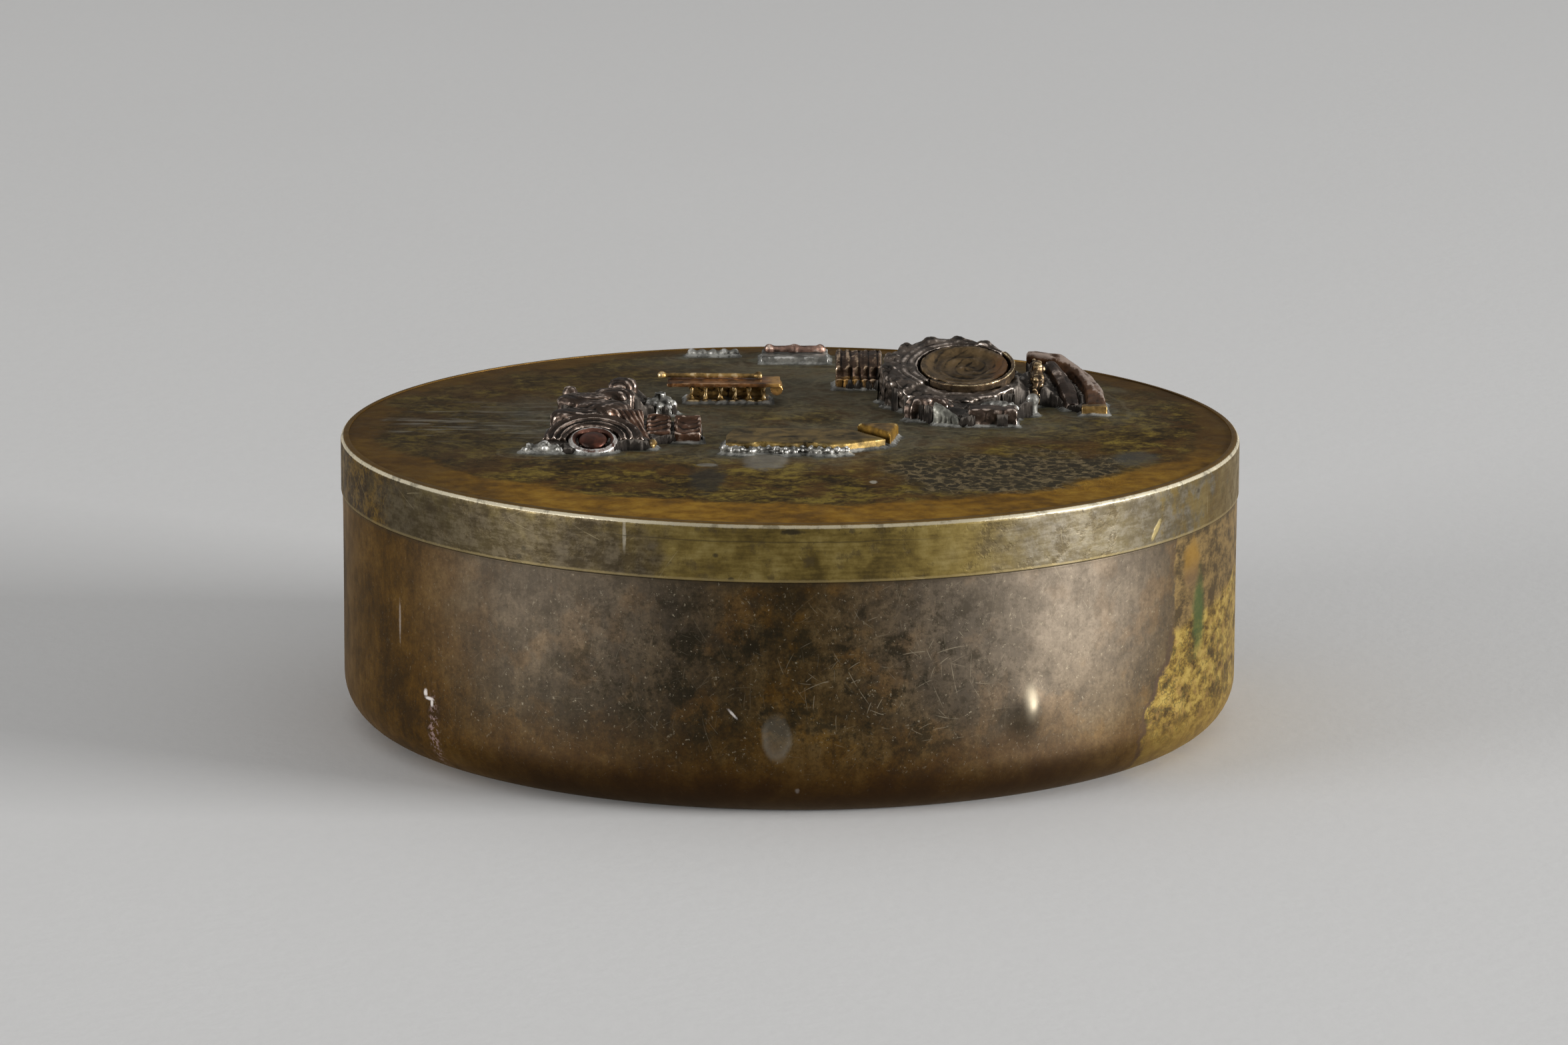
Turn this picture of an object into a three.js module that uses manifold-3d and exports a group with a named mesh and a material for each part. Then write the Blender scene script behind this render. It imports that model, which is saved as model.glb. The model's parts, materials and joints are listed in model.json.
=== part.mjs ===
// A round brass box with a lift-off lid, whose top is set with small soldered mounts.
// Millimetres, +Z up, origin at the centre of the base, the front towards -Y.
import * as THREE from "three";
import { mergeVertices } from "three/addons/utils/BufferGeometryUtils.js";
import Module from "manifold-3d";

const wasm = await Module();
wasm.setup();

// Box: a spun shell with a rounded foot, and a collar soldered inside its mouth
const BODY_RADIUS = 57.3;
const BODY_HEIGHT = 29.6;
const BODY_WALL = 0.9;
const BASE_THICKNESS = 1.0;
const BASE_CORNER = 6.0;
const COLLAR_WALL = 0.8;
const COLLAR_DEPTH = 5.0;
const COLLAR_CHAMFER = 0.4;
const COLLAR_HEADROOM = 1.1;

// Lid: a flat ring with a rounded top edge, and a disc soldered inside it
const LID_OVERHANG = 0.2;
const LID_CLEARANCE = 0.15;
const BAND_HEIGHT = 7.2;
const BAND_ROUND = 0.8;
const BAND_CHAMFER = 0.3;
const DISC_THICKNESS = 1.2;
const DISC_DROP = 0.1;

// Joints between pieces
const SOLDER_FILM = 0.05;
const MOUNT_GAP = 0.3;

// Volute mount at the lid's front left: a stone-like boss in a ring, under a folded hood
const VOLUTE_PLACE = [-24.9, -13.3];
const VOLUTE_TILT = 20;
const VOLUTE_LIFT = 1.3;
const BOSS_RADIUS = 1.9;
const BOSS_RISE = 0.7;
const RING_WIDTH = 0.95;
const RING_RISE = 0.4;
const HOOD_WIDTH = 3.0;
const HOOD_FOLDS = 3;
const HOOD_FOLD_RISE = 0.45;
const HOOD_CREST = 0.4;
const HOOD_FRONT = 0.2;

// Toe: a row of knobs left of the ring, on a low spine of [x, y, height, half width]
const TOE_SPINE = [[-9.0, -1.2, 0.7, 0.6], [-6.5, -1.5, 1.2, 0.85], [-3.7, -1.6, 0.9, 0.7]];
const TOE_KNOBS = [[-8.0, -1.4, 0.85], [-6.1, -1.6, 1.0], [-4.5, -1.6, 0.8]];
const TOE_KNOB_SINK = 0.3;

// Rib fan: ribs that sweep from behind the hood to its right foot, between two outer ribs
const FAN_RIBS = 5;
const FAN_LEFT = [[1.0, 9.3, 3.0], [2.4, 8.2, 3.9], [4.6, 6.2, 2.9], [6.3, 2.7, 0.8]];
const FAN_RIGHT = [[5.5, 9.3, 3.2], [5.7, 8.0, 3.9], [5.8, 6.2, 2.9], [6.9, 2.7, 0.8]];
const FAN_RIB_HALF = 0.6;
const FOOT_BEADS = [[7.5, 1.6, 0.7], [7.4, 0.8, 0.6]];

// Panel blocks: two boxes with sunk, sloping tops
const PANEL_LEFT = { place: [8.2, 7.4], half: [1.6, 2.3] };
const PANEL_RIGHT = { place: [11.85, 6.8], half: [1.75, 2.1] };
const PANEL_FRONT_HEIGHT = 1.3;
const PANEL_BACK_HEIGHT = 3.0;
const PANEL_BORDER = 0.55;
const PANEL_SINK = 0.4;
const PANEL_EASE = 0.12;
const PANEL_SINK_EASE = 0.02;

// Leaves behind the volute
const TIER_PLACE = [-0.3, 12.4];
const TIER_EDGE = 0.9;
const TIERS = [
  { place: [-2.2, 0.0], half: [3.4, 2.1], height: 2.9 },
  { place: [1.3, 2.4], half: [3.7, 2.2], height: 3.4 },
  { place: [-1.4, 5.4], half: [3.5, 2.2], height: 3.8 },
  { place: [2.4, 7.8], half: [2.8, 1.7], height: 4.1 },
];
const PETAL = { place: [3.2, 24.9], half: [2.0, 1.4], height: 4.6, edge: 1.0 };
const BUD = { place: [-3.6, 23.4], half: [1.1, 1.1], height: 3.8, edge: 1.0 };
const ROSETTE = { place: [8.1, 23.6], radius: 2.4, height: 2.9, lobes: 7, lobeDepth: 0.3 };
const ROSETTE_PETALS = 0.8;
const ROSETTE_EDGE = 0.4;
const ROSETTE_BUTTON = 0.35;

// Gallery mount behind the lid's middle: a row of posts, a shelf on it and a rod on the shelf
const GALLERY_PLACE = [-8.2, 19.4];
const GALLERY_LENGTH = 11.0;
const GALLERY_DEPTH = 4.4;
const GALLERY_BASE = 0.5;
const POST_COUNT = 6;
const POST_RADIUS = 0.55;
const POST_HEIGHT = 2.2;
const POST_WAIST = 0.6;
const POST_SINK = 0.1;
const POST_INSET = 1.5;
const GALLERY_EASE = 0.1;
const GALLERY_BACK_WALL = 0.9;
const GALLERY_WALL_INSET = 0.5;
const SHELF_SHIFT = -0.5;
const SHELF_OVERHANG = [1.9, 0.45];
const SHELF_THICKNESS = 0.6;
const SHELF_EDGE = 0.15;
const SHELF_ROLL = { radius: 0.85, length: 3.6, inset: 0.5, drop: 0.55 };
const ROD = { place: [-2.3, 0.9], length: 12.6, radius: 0.42, beads: 2, beadRadius: 0.68 };

// Plaque at the lid's front: a plate, a beaded edge and a folded corner
const PLAQUE_PLACE = [0, -9.2];
const PLAQUE_BACK = [[12.2, -1.5], [7.9, 4.9], [-7.3, 5.1], [-8.2, 0.5]];
const PLAQUE_LEFT_END = [-8.2, -4.9];
const PLAQUE_RIGHT_END = [7.0, -5.3];
const PLAQUE_WAVE_DEPTH = 0.45;
const PLAQUE_WAVE_COUNT = 3;
const PLAQUE_WAVE_STEPS = 18;
const PLAQUE_HEIGHT = 1.4;
const PLAQUE_EDGE = 0.3;
const BEADING_DROP = 1.25;
const BEADING_RADIUS = 0.75;
const BEADING_PITCH = 1.2;
const BEADING_SINK = 0.15;
const CORNER_OUTLINE = [[8.5, 5.3], [12.7, -0.9], [13.9, 5.5]];
const CORNER_HEIGHT = 1.9;
const CORNER_EDGE = 0.5;

// Dish mount at the lid's back right: a ringed dish in a curled mane, leaned to the front
const DISH_PLACE = [20.8, 18.0];
const DISH_TILT = 15;
const DISH_LIFT = 4.9;
const MANE_RADIUS = 9.4;
const MANE_OFFSET = [0, 0.2];
const MANE_LOBES = 14;
const MANE_LOBE_DEPTH = 0.25;
const MANE_EDGE = 0.6;
const CURL_COUNT = 9;
const CURL_RADIUS = 1.25;
const CURL_FROM = 55;
const CURL_TO = 262;
const CURL_SINK = 0.45;
const BOWL_OFFSET = [1.9, 0.8];
const BOWL_RADIUS = 5.8;
const BOWL_DEPTH = 1.3;
const BOWL_RINGS = 3;
const BOWL_RING_RISE = 0.3;
const BOWL_GROOVE = 0.75;
const CRESCENT_WIDTH = 0.6;
const CRESCENT_FROM = -135;
const CRESCENT_TO = 35;
const CRESCENT_RISE = 0.15;
const FOLD_WIDTH = 1.5;
const FOLD_DROP = 0.5;
const FOLD_TO = -40;
const BIB = { place: [-2.9, -10.9], half: [3.4, 1.5], height: 3.2, edge: 1.0, lobes: 8, lobeDepth: 0.2 };
const TUFT = { place: [6.0, -10.2], half: [2.8, 1.4], height: 2.5, edge: 0.9, lobes: 9, lobeDepth: 0.2 };
const FRONT_BLOCK = { place: [5.2, -13.7], half: [3.2, 1.7], height: 2.4, edge: 0.5 };
const SILVER_LEAF = [
  [-2.2, -13.2, 3.0, 0.75],
  [-0.6, -14.2, 2.2, 0.85],
  [1.1, -14.9, 1.1, 0.6],
];
const GILT_SCROLL = [
  [11.2, 6.2, 5.0, 0.7],
  [11.5, 3.2, 4.6, 0.9],
  [11.4, 0.4, 3.6, 0.9],
  [11.1, -2.2, 2.4, 0.7],
];
const GILT_KNOBS = [[11.6, 3.0, 4.2, 1.1], [11.5, -0.4, 3.1, 1.1]];
const SILVER_BEAD = { place: [10.6, -7.7], radius: 0.95, height: 3.0, stalk: 0.7 };
const SWEPT_LEAF = [
  [13.3, 6.0, 4.8, 0.9],
  [14.5, 2.4, 3.8, 1.35],
  [15.5, -1.2, 2.5, 1.4],
  [16.0, -4.4, 1.0, 1.0],
];
const WING = [
  [10.4, 10.9, 5.0, 0.9],
  [14.2, 9.0, 5.2, 1.3],
  [17.0, 5.2, 3.9, 1.4],
  [18.9, -1.6, 2.6, 1.5],
  [18.7, -5.6, 1.4, 1.5],
];
const WING_END = { place: [18.6, -6.9], half: [1.7, 0.85], height: 1.3, edge: 0.3 };
const FLUTED_BLOCK = { place: [-11.8, 11.5], half: [3.1, 2.6], height: 4.0 };
const FLUTE_COUNT = 5;
const FLUTE_RISE = 0.7;
const FLUTE_FRONT = 0.75;
const FLUTE_LAP = 0.08;
const FLUTE_LEDGE = 1.1;
const FLUTE_LEDGE_HEIGHT = 1.5;
const FLUTE_LEDGE_EASE = 0.3;

// Bars at the lid's back: a beaded silver bar, and a ringed copper bar on a silver plate
const SILVER_BAR = { shift: -10.4, inset: 6.1, length: 5.8, radius: 0.45, beads: 5, beadRadius: 0.72 };
const BAR_PLATE = { shift: 0.6, inset: 8.7, half: [4.5, 3.2], height: 1.0, edge: 0.2 };
const COPPER_BAR = { length: 6.9, radius: 0.58, beads: 3, beadRadius: 0.8 };
const BAR_FLAT = 0.8;

// Facets
const ROUND_STEPS = 60;
const CORNER_STEPS = 5;
const LEANED_STEPS = 24;
const PAD_STEPS = 24;
const BEAD_STEPS = 8;
const BEAD_ROWS = 5;
const SPINE_STEPS = 7;
const CROWN_STEPS = 4;
const CROWN_SHARE = 0.7;
const ROOT_DEPTH = 14;

// Places that follow from the sizes
const COLLAR_RADIUS = BODY_RADIUS - BODY_WALL - SOLDER_FILM;
const BAND_RADIUS = BODY_RADIUS + LID_OVERHANG;
const BAND_BORE = COLLAR_RADIUS + LID_CLEARANCE;
const DISC_RADIUS = BAND_BORE - SOLDER_FILM;
const DISC_TOP = BAND_HEIGHT - DISC_DROP;
const COLLAR_REACH = DISC_TOP - DISC_THICKNESS - COLLAR_HEADROOM;
const RING_INNER = BOSS_RADIUS + MOUNT_GAP;
const HOOD_INNER = RING_INNER + RING_WIDTH + MOUNT_GAP;
const HOOD_OUTER = HOOD_INNER + HOOD_WIDTH;
const CRESCENT_INNER = BOWL_RADIUS + MOUNT_GAP;
const CRESCENT_OUTER = CRESCENT_INNER + CRESCENT_WIDTH;
const FOLD_INNER = CRESCENT_OUTER + MOUNT_GAP;

const radians = THREE.MathUtils.degToRad;
const lerp = THREE.MathUtils.lerp;

// A closed three.js geometry as a solid that can be joined and cut.
function solidOf(geometry) {
  const bare = geometry.clone();
  bare.deleteAttribute("normal");
  bare.deleteAttribute("uv");
  const merged = mergeVertices(bare, 1e-4);
  return new wasm.Manifold(
    new wasm.Mesh({
      numProp: 3,
      vertProperties: merged.attributes.position.array,
      triVerts: new Uint32Array(merged.index.array),
    }),
  );
}

// A solid's skin as a three.js geometry.
function geometryOf(solid) {
  const mesh = solid.getMesh();
  const geometry = new THREE.BufferGeometry();
  geometry.setAttribute("position", new THREE.BufferAttribute(mesh.vertProperties, 3));
  geometry.setIndex(new THREE.BufferAttribute(mesh.triVerts, 1));
  geometry.computeVertexNormals();
  return geometry;
}

function join(geometries) {
  return geometries.map(solidOf).reduce((whole, part) => whole.add(part));
}

// Cuts a solid flat where it meets the face that it stands on.
function standing(solid) {
  const side = 20 * ROOT_DEPTH;
  return solid.subtract(solidOf(new THREE.BoxGeometry(side, side, side).translate(0, 0, -side / 2)));
}

// Leans a geometry to the front about X and lifts it.
function leaned(geometry, tilt, lift) {
  return solidOf(geometry.rotateX(radians(tilt)).translate(0, 0, lift));
}

// Points along an arc in a plane, both ends included.
function arc(centreX, centreY, radius, from, to, steps) {
  return Array.from({ length: steps + 1 }, (_, i) => {
    const angle = radians(lerp(from, to, i / steps));
    return [centreX + radius * Math.cos(angle), centreY + radius * Math.sin(angle)];
  });
}

// A body of revolution about Z, from a profile of [radius, height] that runs anticlockwise.
function turned(profile, steps) {
  const points = profile.map(([radius, height]) => new THREE.Vector2(radius, height));
  return new THREE.LatheGeometry(points, steps).rotateX(Math.PI / 2);
}

function closed(profile) {
  return [...profile, profile[0]];
}

function plug(radius, low, high, steps) {
  return turned([[0, low], [radius, low], [radius, high], [0, high]], steps);
}

function ball(radius, x, y, z) {
  return new THREE.SphereGeometry(radius, BEAD_STEPS, BEAD_ROWS).rotateX(Math.PI / 2).translate(x, y, z);
}

// The middle of a ring or an outline of vectors.
function middleOf(points) {
  return points.reduce((sum, point) => sum.add(point), new THREE.Vector3()).divideScalar(points.length);
}

// A closed skin over equal rings of points, capped by a fan about each end ring's centre.
function loft(rings) {
  const count = rings[0].length;
  const index = [];
  for (let ring = 0; ring + 1 < rings.length; ring += 1) {
    for (let j = 0; j < count; j += 1) {
      const a = ring * count + j;
      const b = ring * count + ((j + 1) % count);
      index.push(a, b, b + count, a, b + count, a + count);
    }
  }
  const end = rings.length * count;
  const last = end - count;
  for (let j = 0; j < count; j += 1) {
    const next = (j + 1) % count;
    index.push(end, next, j);
    index.push(end + 1, last + j, last + next);
  }
  const points = [...rings.flat(), middleOf(rings[0]), middleOf(rings[rings.length - 1])];
  const places = points.flatMap((point) => point.toArray());
  const geometry = new THREE.BufferGeometry();
  geometry.setAttribute("position", new THREE.Float32BufferAttribute(places, 3));
  geometry.setIndex(index);
  return geometry;
}

// An oval outline, with lobes round it where asked.
function oval([halfX, halfY], lobes = 0, lobeDepth = 0, steps = PAD_STEPS) {
  return arc(0, 0, 1, 0, 360, steps)
    .slice(0, -1)
    .map(([x, y], i) => {
      const swell = lobeDepth * Math.cos((lobes * 2 * Math.PI * i) / steps);
      return [x * (halfX - lobeDepth + swell), y * (halfY - lobeDepth + swell)];
    });
}

function rectangle([halfX, halfY]) {
  return [[-halfX, -halfY], [halfX, -halfY], [halfX, halfY], [-halfX, halfY]];
}

// An upright pad over an outline, its upper edge rounded by the given radius.
function pad(outline, height, edge, low = 0, steps = 2) {
  const middle = middleOf(outline.map(([x, y]) => new THREE.Vector3(x, y, 0)));
  const reach = Math.min(...outline.map(([x, y]) => Math.hypot(x - middle.x, y - middle.y)));
  const ring = (inset, z) =>
    outline.map(([x, y]) => new THREE.Vector3(x, y, 0).lerp(middle, inset / reach).setZ(z));
  const rounded = arc(0, 0, edge, 0, 90, steps).map(([x, z]) => ring(edge - x, low + height - edge + z));
  return loft([ring(0, low), ...rounded]);
}

// A wall that stands along a spine of [x, y, height, half width], with a rounded crown.
function wallAlong(spine) {
  const path = new THREE.CatmullRomCurve3(spine.map(([x, y, height]) => new THREE.Vector3(x, y, height)));
  const widths = new THREE.CatmullRomCurve3(spine.map((point) => new THREE.Vector3(point[3], 0, 0)));
  const rings = Array.from({ length: SPINE_STEPS + 1 }, (_, i) => {
    const place = path.getPoint(i / SPINE_STEPS);
    const ahead = path.getTangent(i / SPINE_STEPS).setZ(0).normalize();
    const side = new THREE.Vector3(-ahead.y, ahead.x, 0);
    const half = widths.getPoint(i / SPINE_STEPS).x;
    const crown = Math.min(half, place.z * CROWN_SHARE);
    const across = (offset, z) => new THREE.Vector3(place.x, place.y, z).addScaledVector(side, offset);
    const spring = place.z - crown;
    const top = arc(0, 0, 1, 0, 180, CROWN_STEPS).map(([x, z]) => across(half * x, spring + crown * z));
    return [across(-half, 0), across(half, 0), ...top];
  });
  return loft(rings);
}

// A bar along X with beads on it, cut flat underneath.
function beadedBar({ length, radius, beads, beadRadius }) {
  const lift = radius * BAR_FLAT;
  const rod = new THREE.CylinderGeometry(radius, radius, length, BEAD_STEPS).rotateZ(Math.PI / 2);
  const pitch = length / (beads - 1);
  const balls = Array.from({ length: beads }, (_, i) => ball(beadRadius, i * pitch - length / 2, 0, lift));
  return standing(join([rod.translate(0, 0, lift), ...balls]));
}

// Finishes: colour, roughness and metalness
const FINISHES = {
  bronze: [0x6b5238, 0.45, 0.9],
  brass: [0xa08a4e, 0.4, 0.95],
  patina: [0x5f5030, 0.6, 0.8],
  copper: [0x8a5234, 0.42, 0.95],
  dark_copper: [0x4c342a, 0.5, 0.9],
  gilt: [0xd8a648, 0.3, 1.0],
  silver: [0xb4b4ac, 0.4, 1.0],
};

// A named mesh of one finish, from a geometry or a solid, moved to its place.
function piece(name, shape, finish, [x, y] = [0, 0], z = 0) {
  const [color, roughness, metalness] = FINISHES[finish];
  const geometry = shape.isBufferGeometry ? shape : geometryOf(shape);
  const mesh = new THREE.Mesh(geometry, new THREE.MeshStandardMaterial({ color, roughness, metalness }));
  mesh.name = name;
  mesh.position.set(x, y, z);
  return mesh;
}

function groupAt([x, y], z, children) {
  const group = new THREE.Group();
  group.position.set(x, y, z);
  group.add(...children);
  return group;
}

// The spun shell: flat base, rounded foot and upright wall.
function bodyShell() {
  const inside = BODY_RADIUS - BODY_WALL;
  const insideCorner = BASE_CORNER - BODY_WALL;
  const cornerX = BODY_RADIUS - BASE_CORNER;
  return turned(
    [
      [0, 0],
      ...arc(cornerX, BASE_CORNER, BASE_CORNER, -90, 0, CORNER_STEPS),
      [BODY_RADIUS, BODY_HEIGHT],
      [inside, BODY_HEIGHT],
      ...arc(cornerX, BASE_THICKNESS + insideCorner, insideCorner, 0, -90, CORNER_STEPS),
      [0, BASE_THICKNESS],
    ],
    ROUND_STEPS,
  );
}

// The collar that the lid slides over: it hangs inside the mouth and stands above the rim.
function neckCollar() {
  const low = BODY_HEIGHT - COLLAR_DEPTH;
  const high = BODY_HEIGHT + COLLAR_REACH;
  const inner = COLLAR_RADIUS - COLLAR_WALL;
  return turned(
    closed([
      [inner, low],
      [COLLAR_RADIUS, low],
      [COLLAR_RADIUS, high - COLLAR_CHAMFER],
      [COLLAR_RADIUS - COLLAR_CHAMFER, high],
      [inner, high],
    ]),
    ROUND_STEPS,
  );
}

// The lid's ring, rounded along its upper outer edge and eased inside its mouth.
function lidBand() {
  return turned(
    closed([
      [BAND_BORE + BAND_CHAMFER, 0],
      [BAND_RADIUS, 0],
      ...arc(BAND_RADIUS - BAND_ROUND, BAND_HEIGHT - BAND_ROUND, BAND_ROUND, 0, 90, CORNER_STEPS),
      [BAND_BORE, BAND_HEIGHT],
      [BAND_BORE, BAND_CHAMFER],
    ]),
    ROUND_STEPS,
  );
}

// A leaned ring of the volute that reaches down to the disc.
function leanedRing(inner, outer, crown) {
  const profile = closed([[inner, -ROOT_DEPTH], [outer, -ROOT_DEPTH], ...crown]);
  return leaned(turned(profile, LEANED_STEPS), VOLUTE_TILT, VOLUTE_LIFT);
}

function voluteBoss() {
  const dome = arc(0, 0, 1, 0, 90, 3).map(([x, z]) => [BOSS_RADIUS * x, BOSS_RISE * z]);
  const profile = [[0, -ROOT_DEPTH], [BOSS_RADIUS, -ROOT_DEPTH], ...dome.slice(0, -1), [0, BOSS_RISE]];
  return standing(leaned(turned(profile, PAD_STEPS), VOLUTE_TILT, VOLUTE_LIFT));
}

function voluteRing() {
  const outer = RING_INNER + RING_WIDTH;
  const crown = [[outer, 0], [RING_INNER + RING_WIDTH / 2, RING_RISE], [RING_INNER, 0]];
  return standing(leanedRing(RING_INNER, outer, crown));
}

// The hood lies round the back and sides of the ring, its top in stepped folds.
function voluteHood() {
  const width = HOOD_WIDTH / HOOD_FOLDS;
  const folds = Array.from({ length: HOOD_FOLDS }, (_, i) => [
    [HOOD_OUTER - (i + HOOD_CREST) * width, HOOD_FOLD_RISE],
    [HOOD_OUTER - (i + 1) * width, 0],
  ]).flat();
  const side = 4 * HOOD_OUTER;
  const front = new THREE.BoxGeometry(side, side, 4 * ROOT_DEPTH).translate(0, HOOD_FRONT - side / 2, 0);
  const ring = leanedRing(HOOD_INNER, HOOD_OUTER, [[HOOD_OUTER, 0], ...folds]);
  return standing(ring.subtract(leaned(front, VOLUTE_TILT, VOLUTE_LIFT)));
}

function voluteToe() {
  const knobs = TOE_KNOBS.map(([x, y, radius]) => ball(radius, x, y, radius - TOE_KNOB_SINK));
  return standing(join([wallAlong(TOE_SPINE), ...knobs]));
}

function ribFan() {
  const ribs = Array.from({ length: FAN_RIBS }, (_, i) => {
    const share = i / (FAN_RIBS - 1);
    const between = (left, right) => left.map((value, axis) => lerp(value, right[axis], share));
    return wallAlong(FAN_LEFT.map((left, k) => [...between(left, FAN_RIGHT[k]), FAN_RIB_HALF]));
  });
  const round = plug(HOOD_OUTER + MOUNT_GAP, -ROOT_DEPTH, ROOT_DEPTH, LEANED_STEPS);
  const hood = leaned(round, VOLUTE_TILT, VOLUTE_LIFT);
  const around = PANEL_LEFT.half.map((half) => half + MOUNT_GAP);
  const panel = pad(rectangle(around), 2 * ROOT_DEPTH, PANEL_EASE, -ROOT_DEPTH);
  const clear = solidOf(panel.translate(...PANEL_LEFT.place, 0));
  return standing(join(ribs).subtract(hood).subtract(clear));
}

function footBeads() {
  return standing(join(FOOT_BEADS.map(([x, y, radius]) => ball(radius, x, y, radius * BAR_FLAT))));
}

// A block whose top slopes up to the back and holds a sunk panel.
function panelBlock([halfX, halfY]) {
  const block = pad(rectangle([halfX, halfY]), 1, PANEL_EASE);
  const field = rectangle([halfX - PANEL_BORDER, halfY - PANEL_BORDER]);
  const sunk = pad(field, 1, PANEL_SINK_EASE, 1 - PANEL_SINK / PANEL_BACK_HEIGHT);
  const slope = (geometry) => {
    const points = geometry.attributes.position;
    for (let i = 0; i < points.count; i += 1) {
      const height = lerp(PANEL_FRONT_HEIGHT, PANEL_BACK_HEIGHT, (points.getY(i) + halfY) / (2 * halfY));
      points.setZ(i, points.getZ(i) * height);
    }
    return solidOf(geometry);
  };
  return slope(block).subtract(slope(sunk));
}

function tieredLeaf() {
  const tier = ({ place, half, height }) => pad(oval(half), height, TIER_EDGE).translate(...place, 0);
  return join(TIERS.map(tier));
}

function rosette() {
  const { radius, height, lobes, lobeDepth } = ROSETTE;
  const outline = oval([radius, radius], lobes, lobeDepth, 4 * lobes);
  const petals = pad(outline, height * ROSETTE_PETALS, radius * ROSETTE_EDGE);
  return join([petals, plug(radius * ROSETTE_BUTTON, 0, height, BEAD_STEPS)]);
}

function ovalPad({ half, height, edge, lobes, lobeDepth }) {
  return pad(oval(half, lobes, lobeDepth), height, edge);
}

function rectanglePad({ half, height, edge }) {
  return pad(rectangle(half), height, edge);
}

// The row: a base, posts along its front and a low wall at its back, all to one height.
function galleryRow() {
  const base = pad(rectangle([GALLERY_LENGTH / 2, GALLERY_DEPTH / 2]), GALLERY_BASE, GALLERY_EASE);
  const inset = POST_INSET * POST_RADIUS;
  const pitch = (GALLERY_LENGTH - 2 * inset) / (POST_COUNT - 1);
  const profile = [
    [0, POST_SINK],
    [POST_RADIUS, POST_SINK],
    [POST_RADIUS * POST_WAIST, POST_HEIGHT * POST_WAIST],
    [POST_RADIUS, POST_HEIGHT],
    [0, POST_HEIGHT],
  ];
  const posts = Array.from({ length: POST_COUNT }, (_, i) =>
    turned(profile, BEAD_STEPS).translate((i - (POST_COUNT - 1) / 2) * pitch, inset - GALLERY_DEPTH / 2, 0),
  );
  const length = GALLERY_LENGTH - 2 * GALLERY_WALL_INSET;
  const wall = new THREE.BoxGeometry(length, GALLERY_BACK_WALL, POST_HEIGHT - POST_SINK)
    .translate(0, GALLERY_DEPTH / 2 - GALLERY_BACK_WALL, (POST_HEIGHT + POST_SINK) / 2);
  return join([base, ...posts, wall]);
}

// The shelf, with its right end rolled under.
function galleryShelf() {
  const half = [GALLERY_LENGTH / 2 + SHELF_OVERHANG[0], GALLERY_DEPTH / 2 + SHELF_OVERHANG[1]];
  const shelf = pad(rectangle(half), SHELF_THICKNESS, SHELF_EDGE);
  const { radius, length, inset, drop } = SHELF_ROLL;
  const roll = new THREE.CylinderGeometry(radius, radius, length, PAD_STEPS / 2)
    .translate(half[0] - inset, 0, SHELF_THICKNESS - drop - radius / 2);
  return join([shelf, roll]);
}

// Points along the plaque's wavy front edge, from left to right, drawn forward by an offset.
function plaqueFront(offset) {
  return Array.from({ length: PLAQUE_WAVE_STEPS + 1 }, (_, i) => {
    const share = i / PLAQUE_WAVE_STEPS;
    const wave = PLAQUE_WAVE_DEPTH * Math.cos(2 * Math.PI * PLAQUE_WAVE_COUNT * share);
    const [x, y] = PLAQUE_LEFT_END.map((start, axis) => lerp(start, PLAQUE_RIGHT_END[axis], share));
    return [x, y + wave - offset];
  });
}

function plaquePlate() {
  return pad([...plaqueFront(0), ...PLAQUE_BACK], PLAQUE_HEIGHT, PLAQUE_EDGE);
}

function plaqueBeading() {
  const line = plaqueFront(BEADING_DROP).map(([x, y]) => new THREE.Vector3(x, y, 0));
  const curve = new THREE.CatmullRomCurve3(line);
  const count = Math.ceil(curve.getLength() / BEADING_PITCH);
  const lift = BEADING_RADIUS - BEADING_SINK;
  return standing(join(curve.getSpacedPoints(count).map(({ x, y }) => ball(BEADING_RADIUS, x, y, lift))));
}

function leanedDish(geometry) {
  return leaned(geometry.translate(...BOWL_OFFSET, 0), DISH_TILT, DISH_LIFT);
}

// The bowl: rings that step down to its middle.
function dishBowl() {
  const rings = Array.from({ length: BOWL_RINGS }, (_, i) => {
    const outer = 1 - i / BOWL_RINGS;
    const inner = 1 - (i + BOWL_GROOVE) / BOWL_RINGS;
    const depth = (share) => -BOWL_DEPTH * (1 - share * share);
    return [
      [BOWL_RADIUS * outer, depth(outer)],
      [BOWL_RADIUS * (outer + inner) / 2, depth((outer + inner) / 2) + BOWL_RING_RISE],
      [BOWL_RADIUS * inner, depth(inner)],
    ];
  }).flat();
  const profile = [[0, -ROOT_DEPTH], [BOWL_RADIUS, -ROOT_DEPTH], ...rings, [0, -BOWL_DEPTH]];
  return standing(leanedDish(turned(profile, LEANED_STEPS)));
}

// An upright prism over part of a ring.
function ringSector(inner, outer, from, to, low, high) {
  const outline = [...arc(0, 0, outer, from, to, PAD_STEPS), ...arc(0, 0, inner, to, from, PAD_STEPS)];
  const shape = new THREE.Shape(outline.map(([x, y]) => new THREE.Vector2(x, y)));
  const sides = { depth: high - low, bevelEnabled: false, steps: 1 };
  return new THREE.ExtrudeGeometry(shape, sides).translate(0, 0, low);
}

function dishCrescent() {
  const [inner, outer] = [CRESCENT_INNER, CRESCENT_OUTER];
  const sector = ringSector(inner, outer, CRESCENT_FROM, CRESCENT_TO, -ROOT_DEPTH, CRESCENT_RISE);
  return standing(leanedDish(sector));
}

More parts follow.
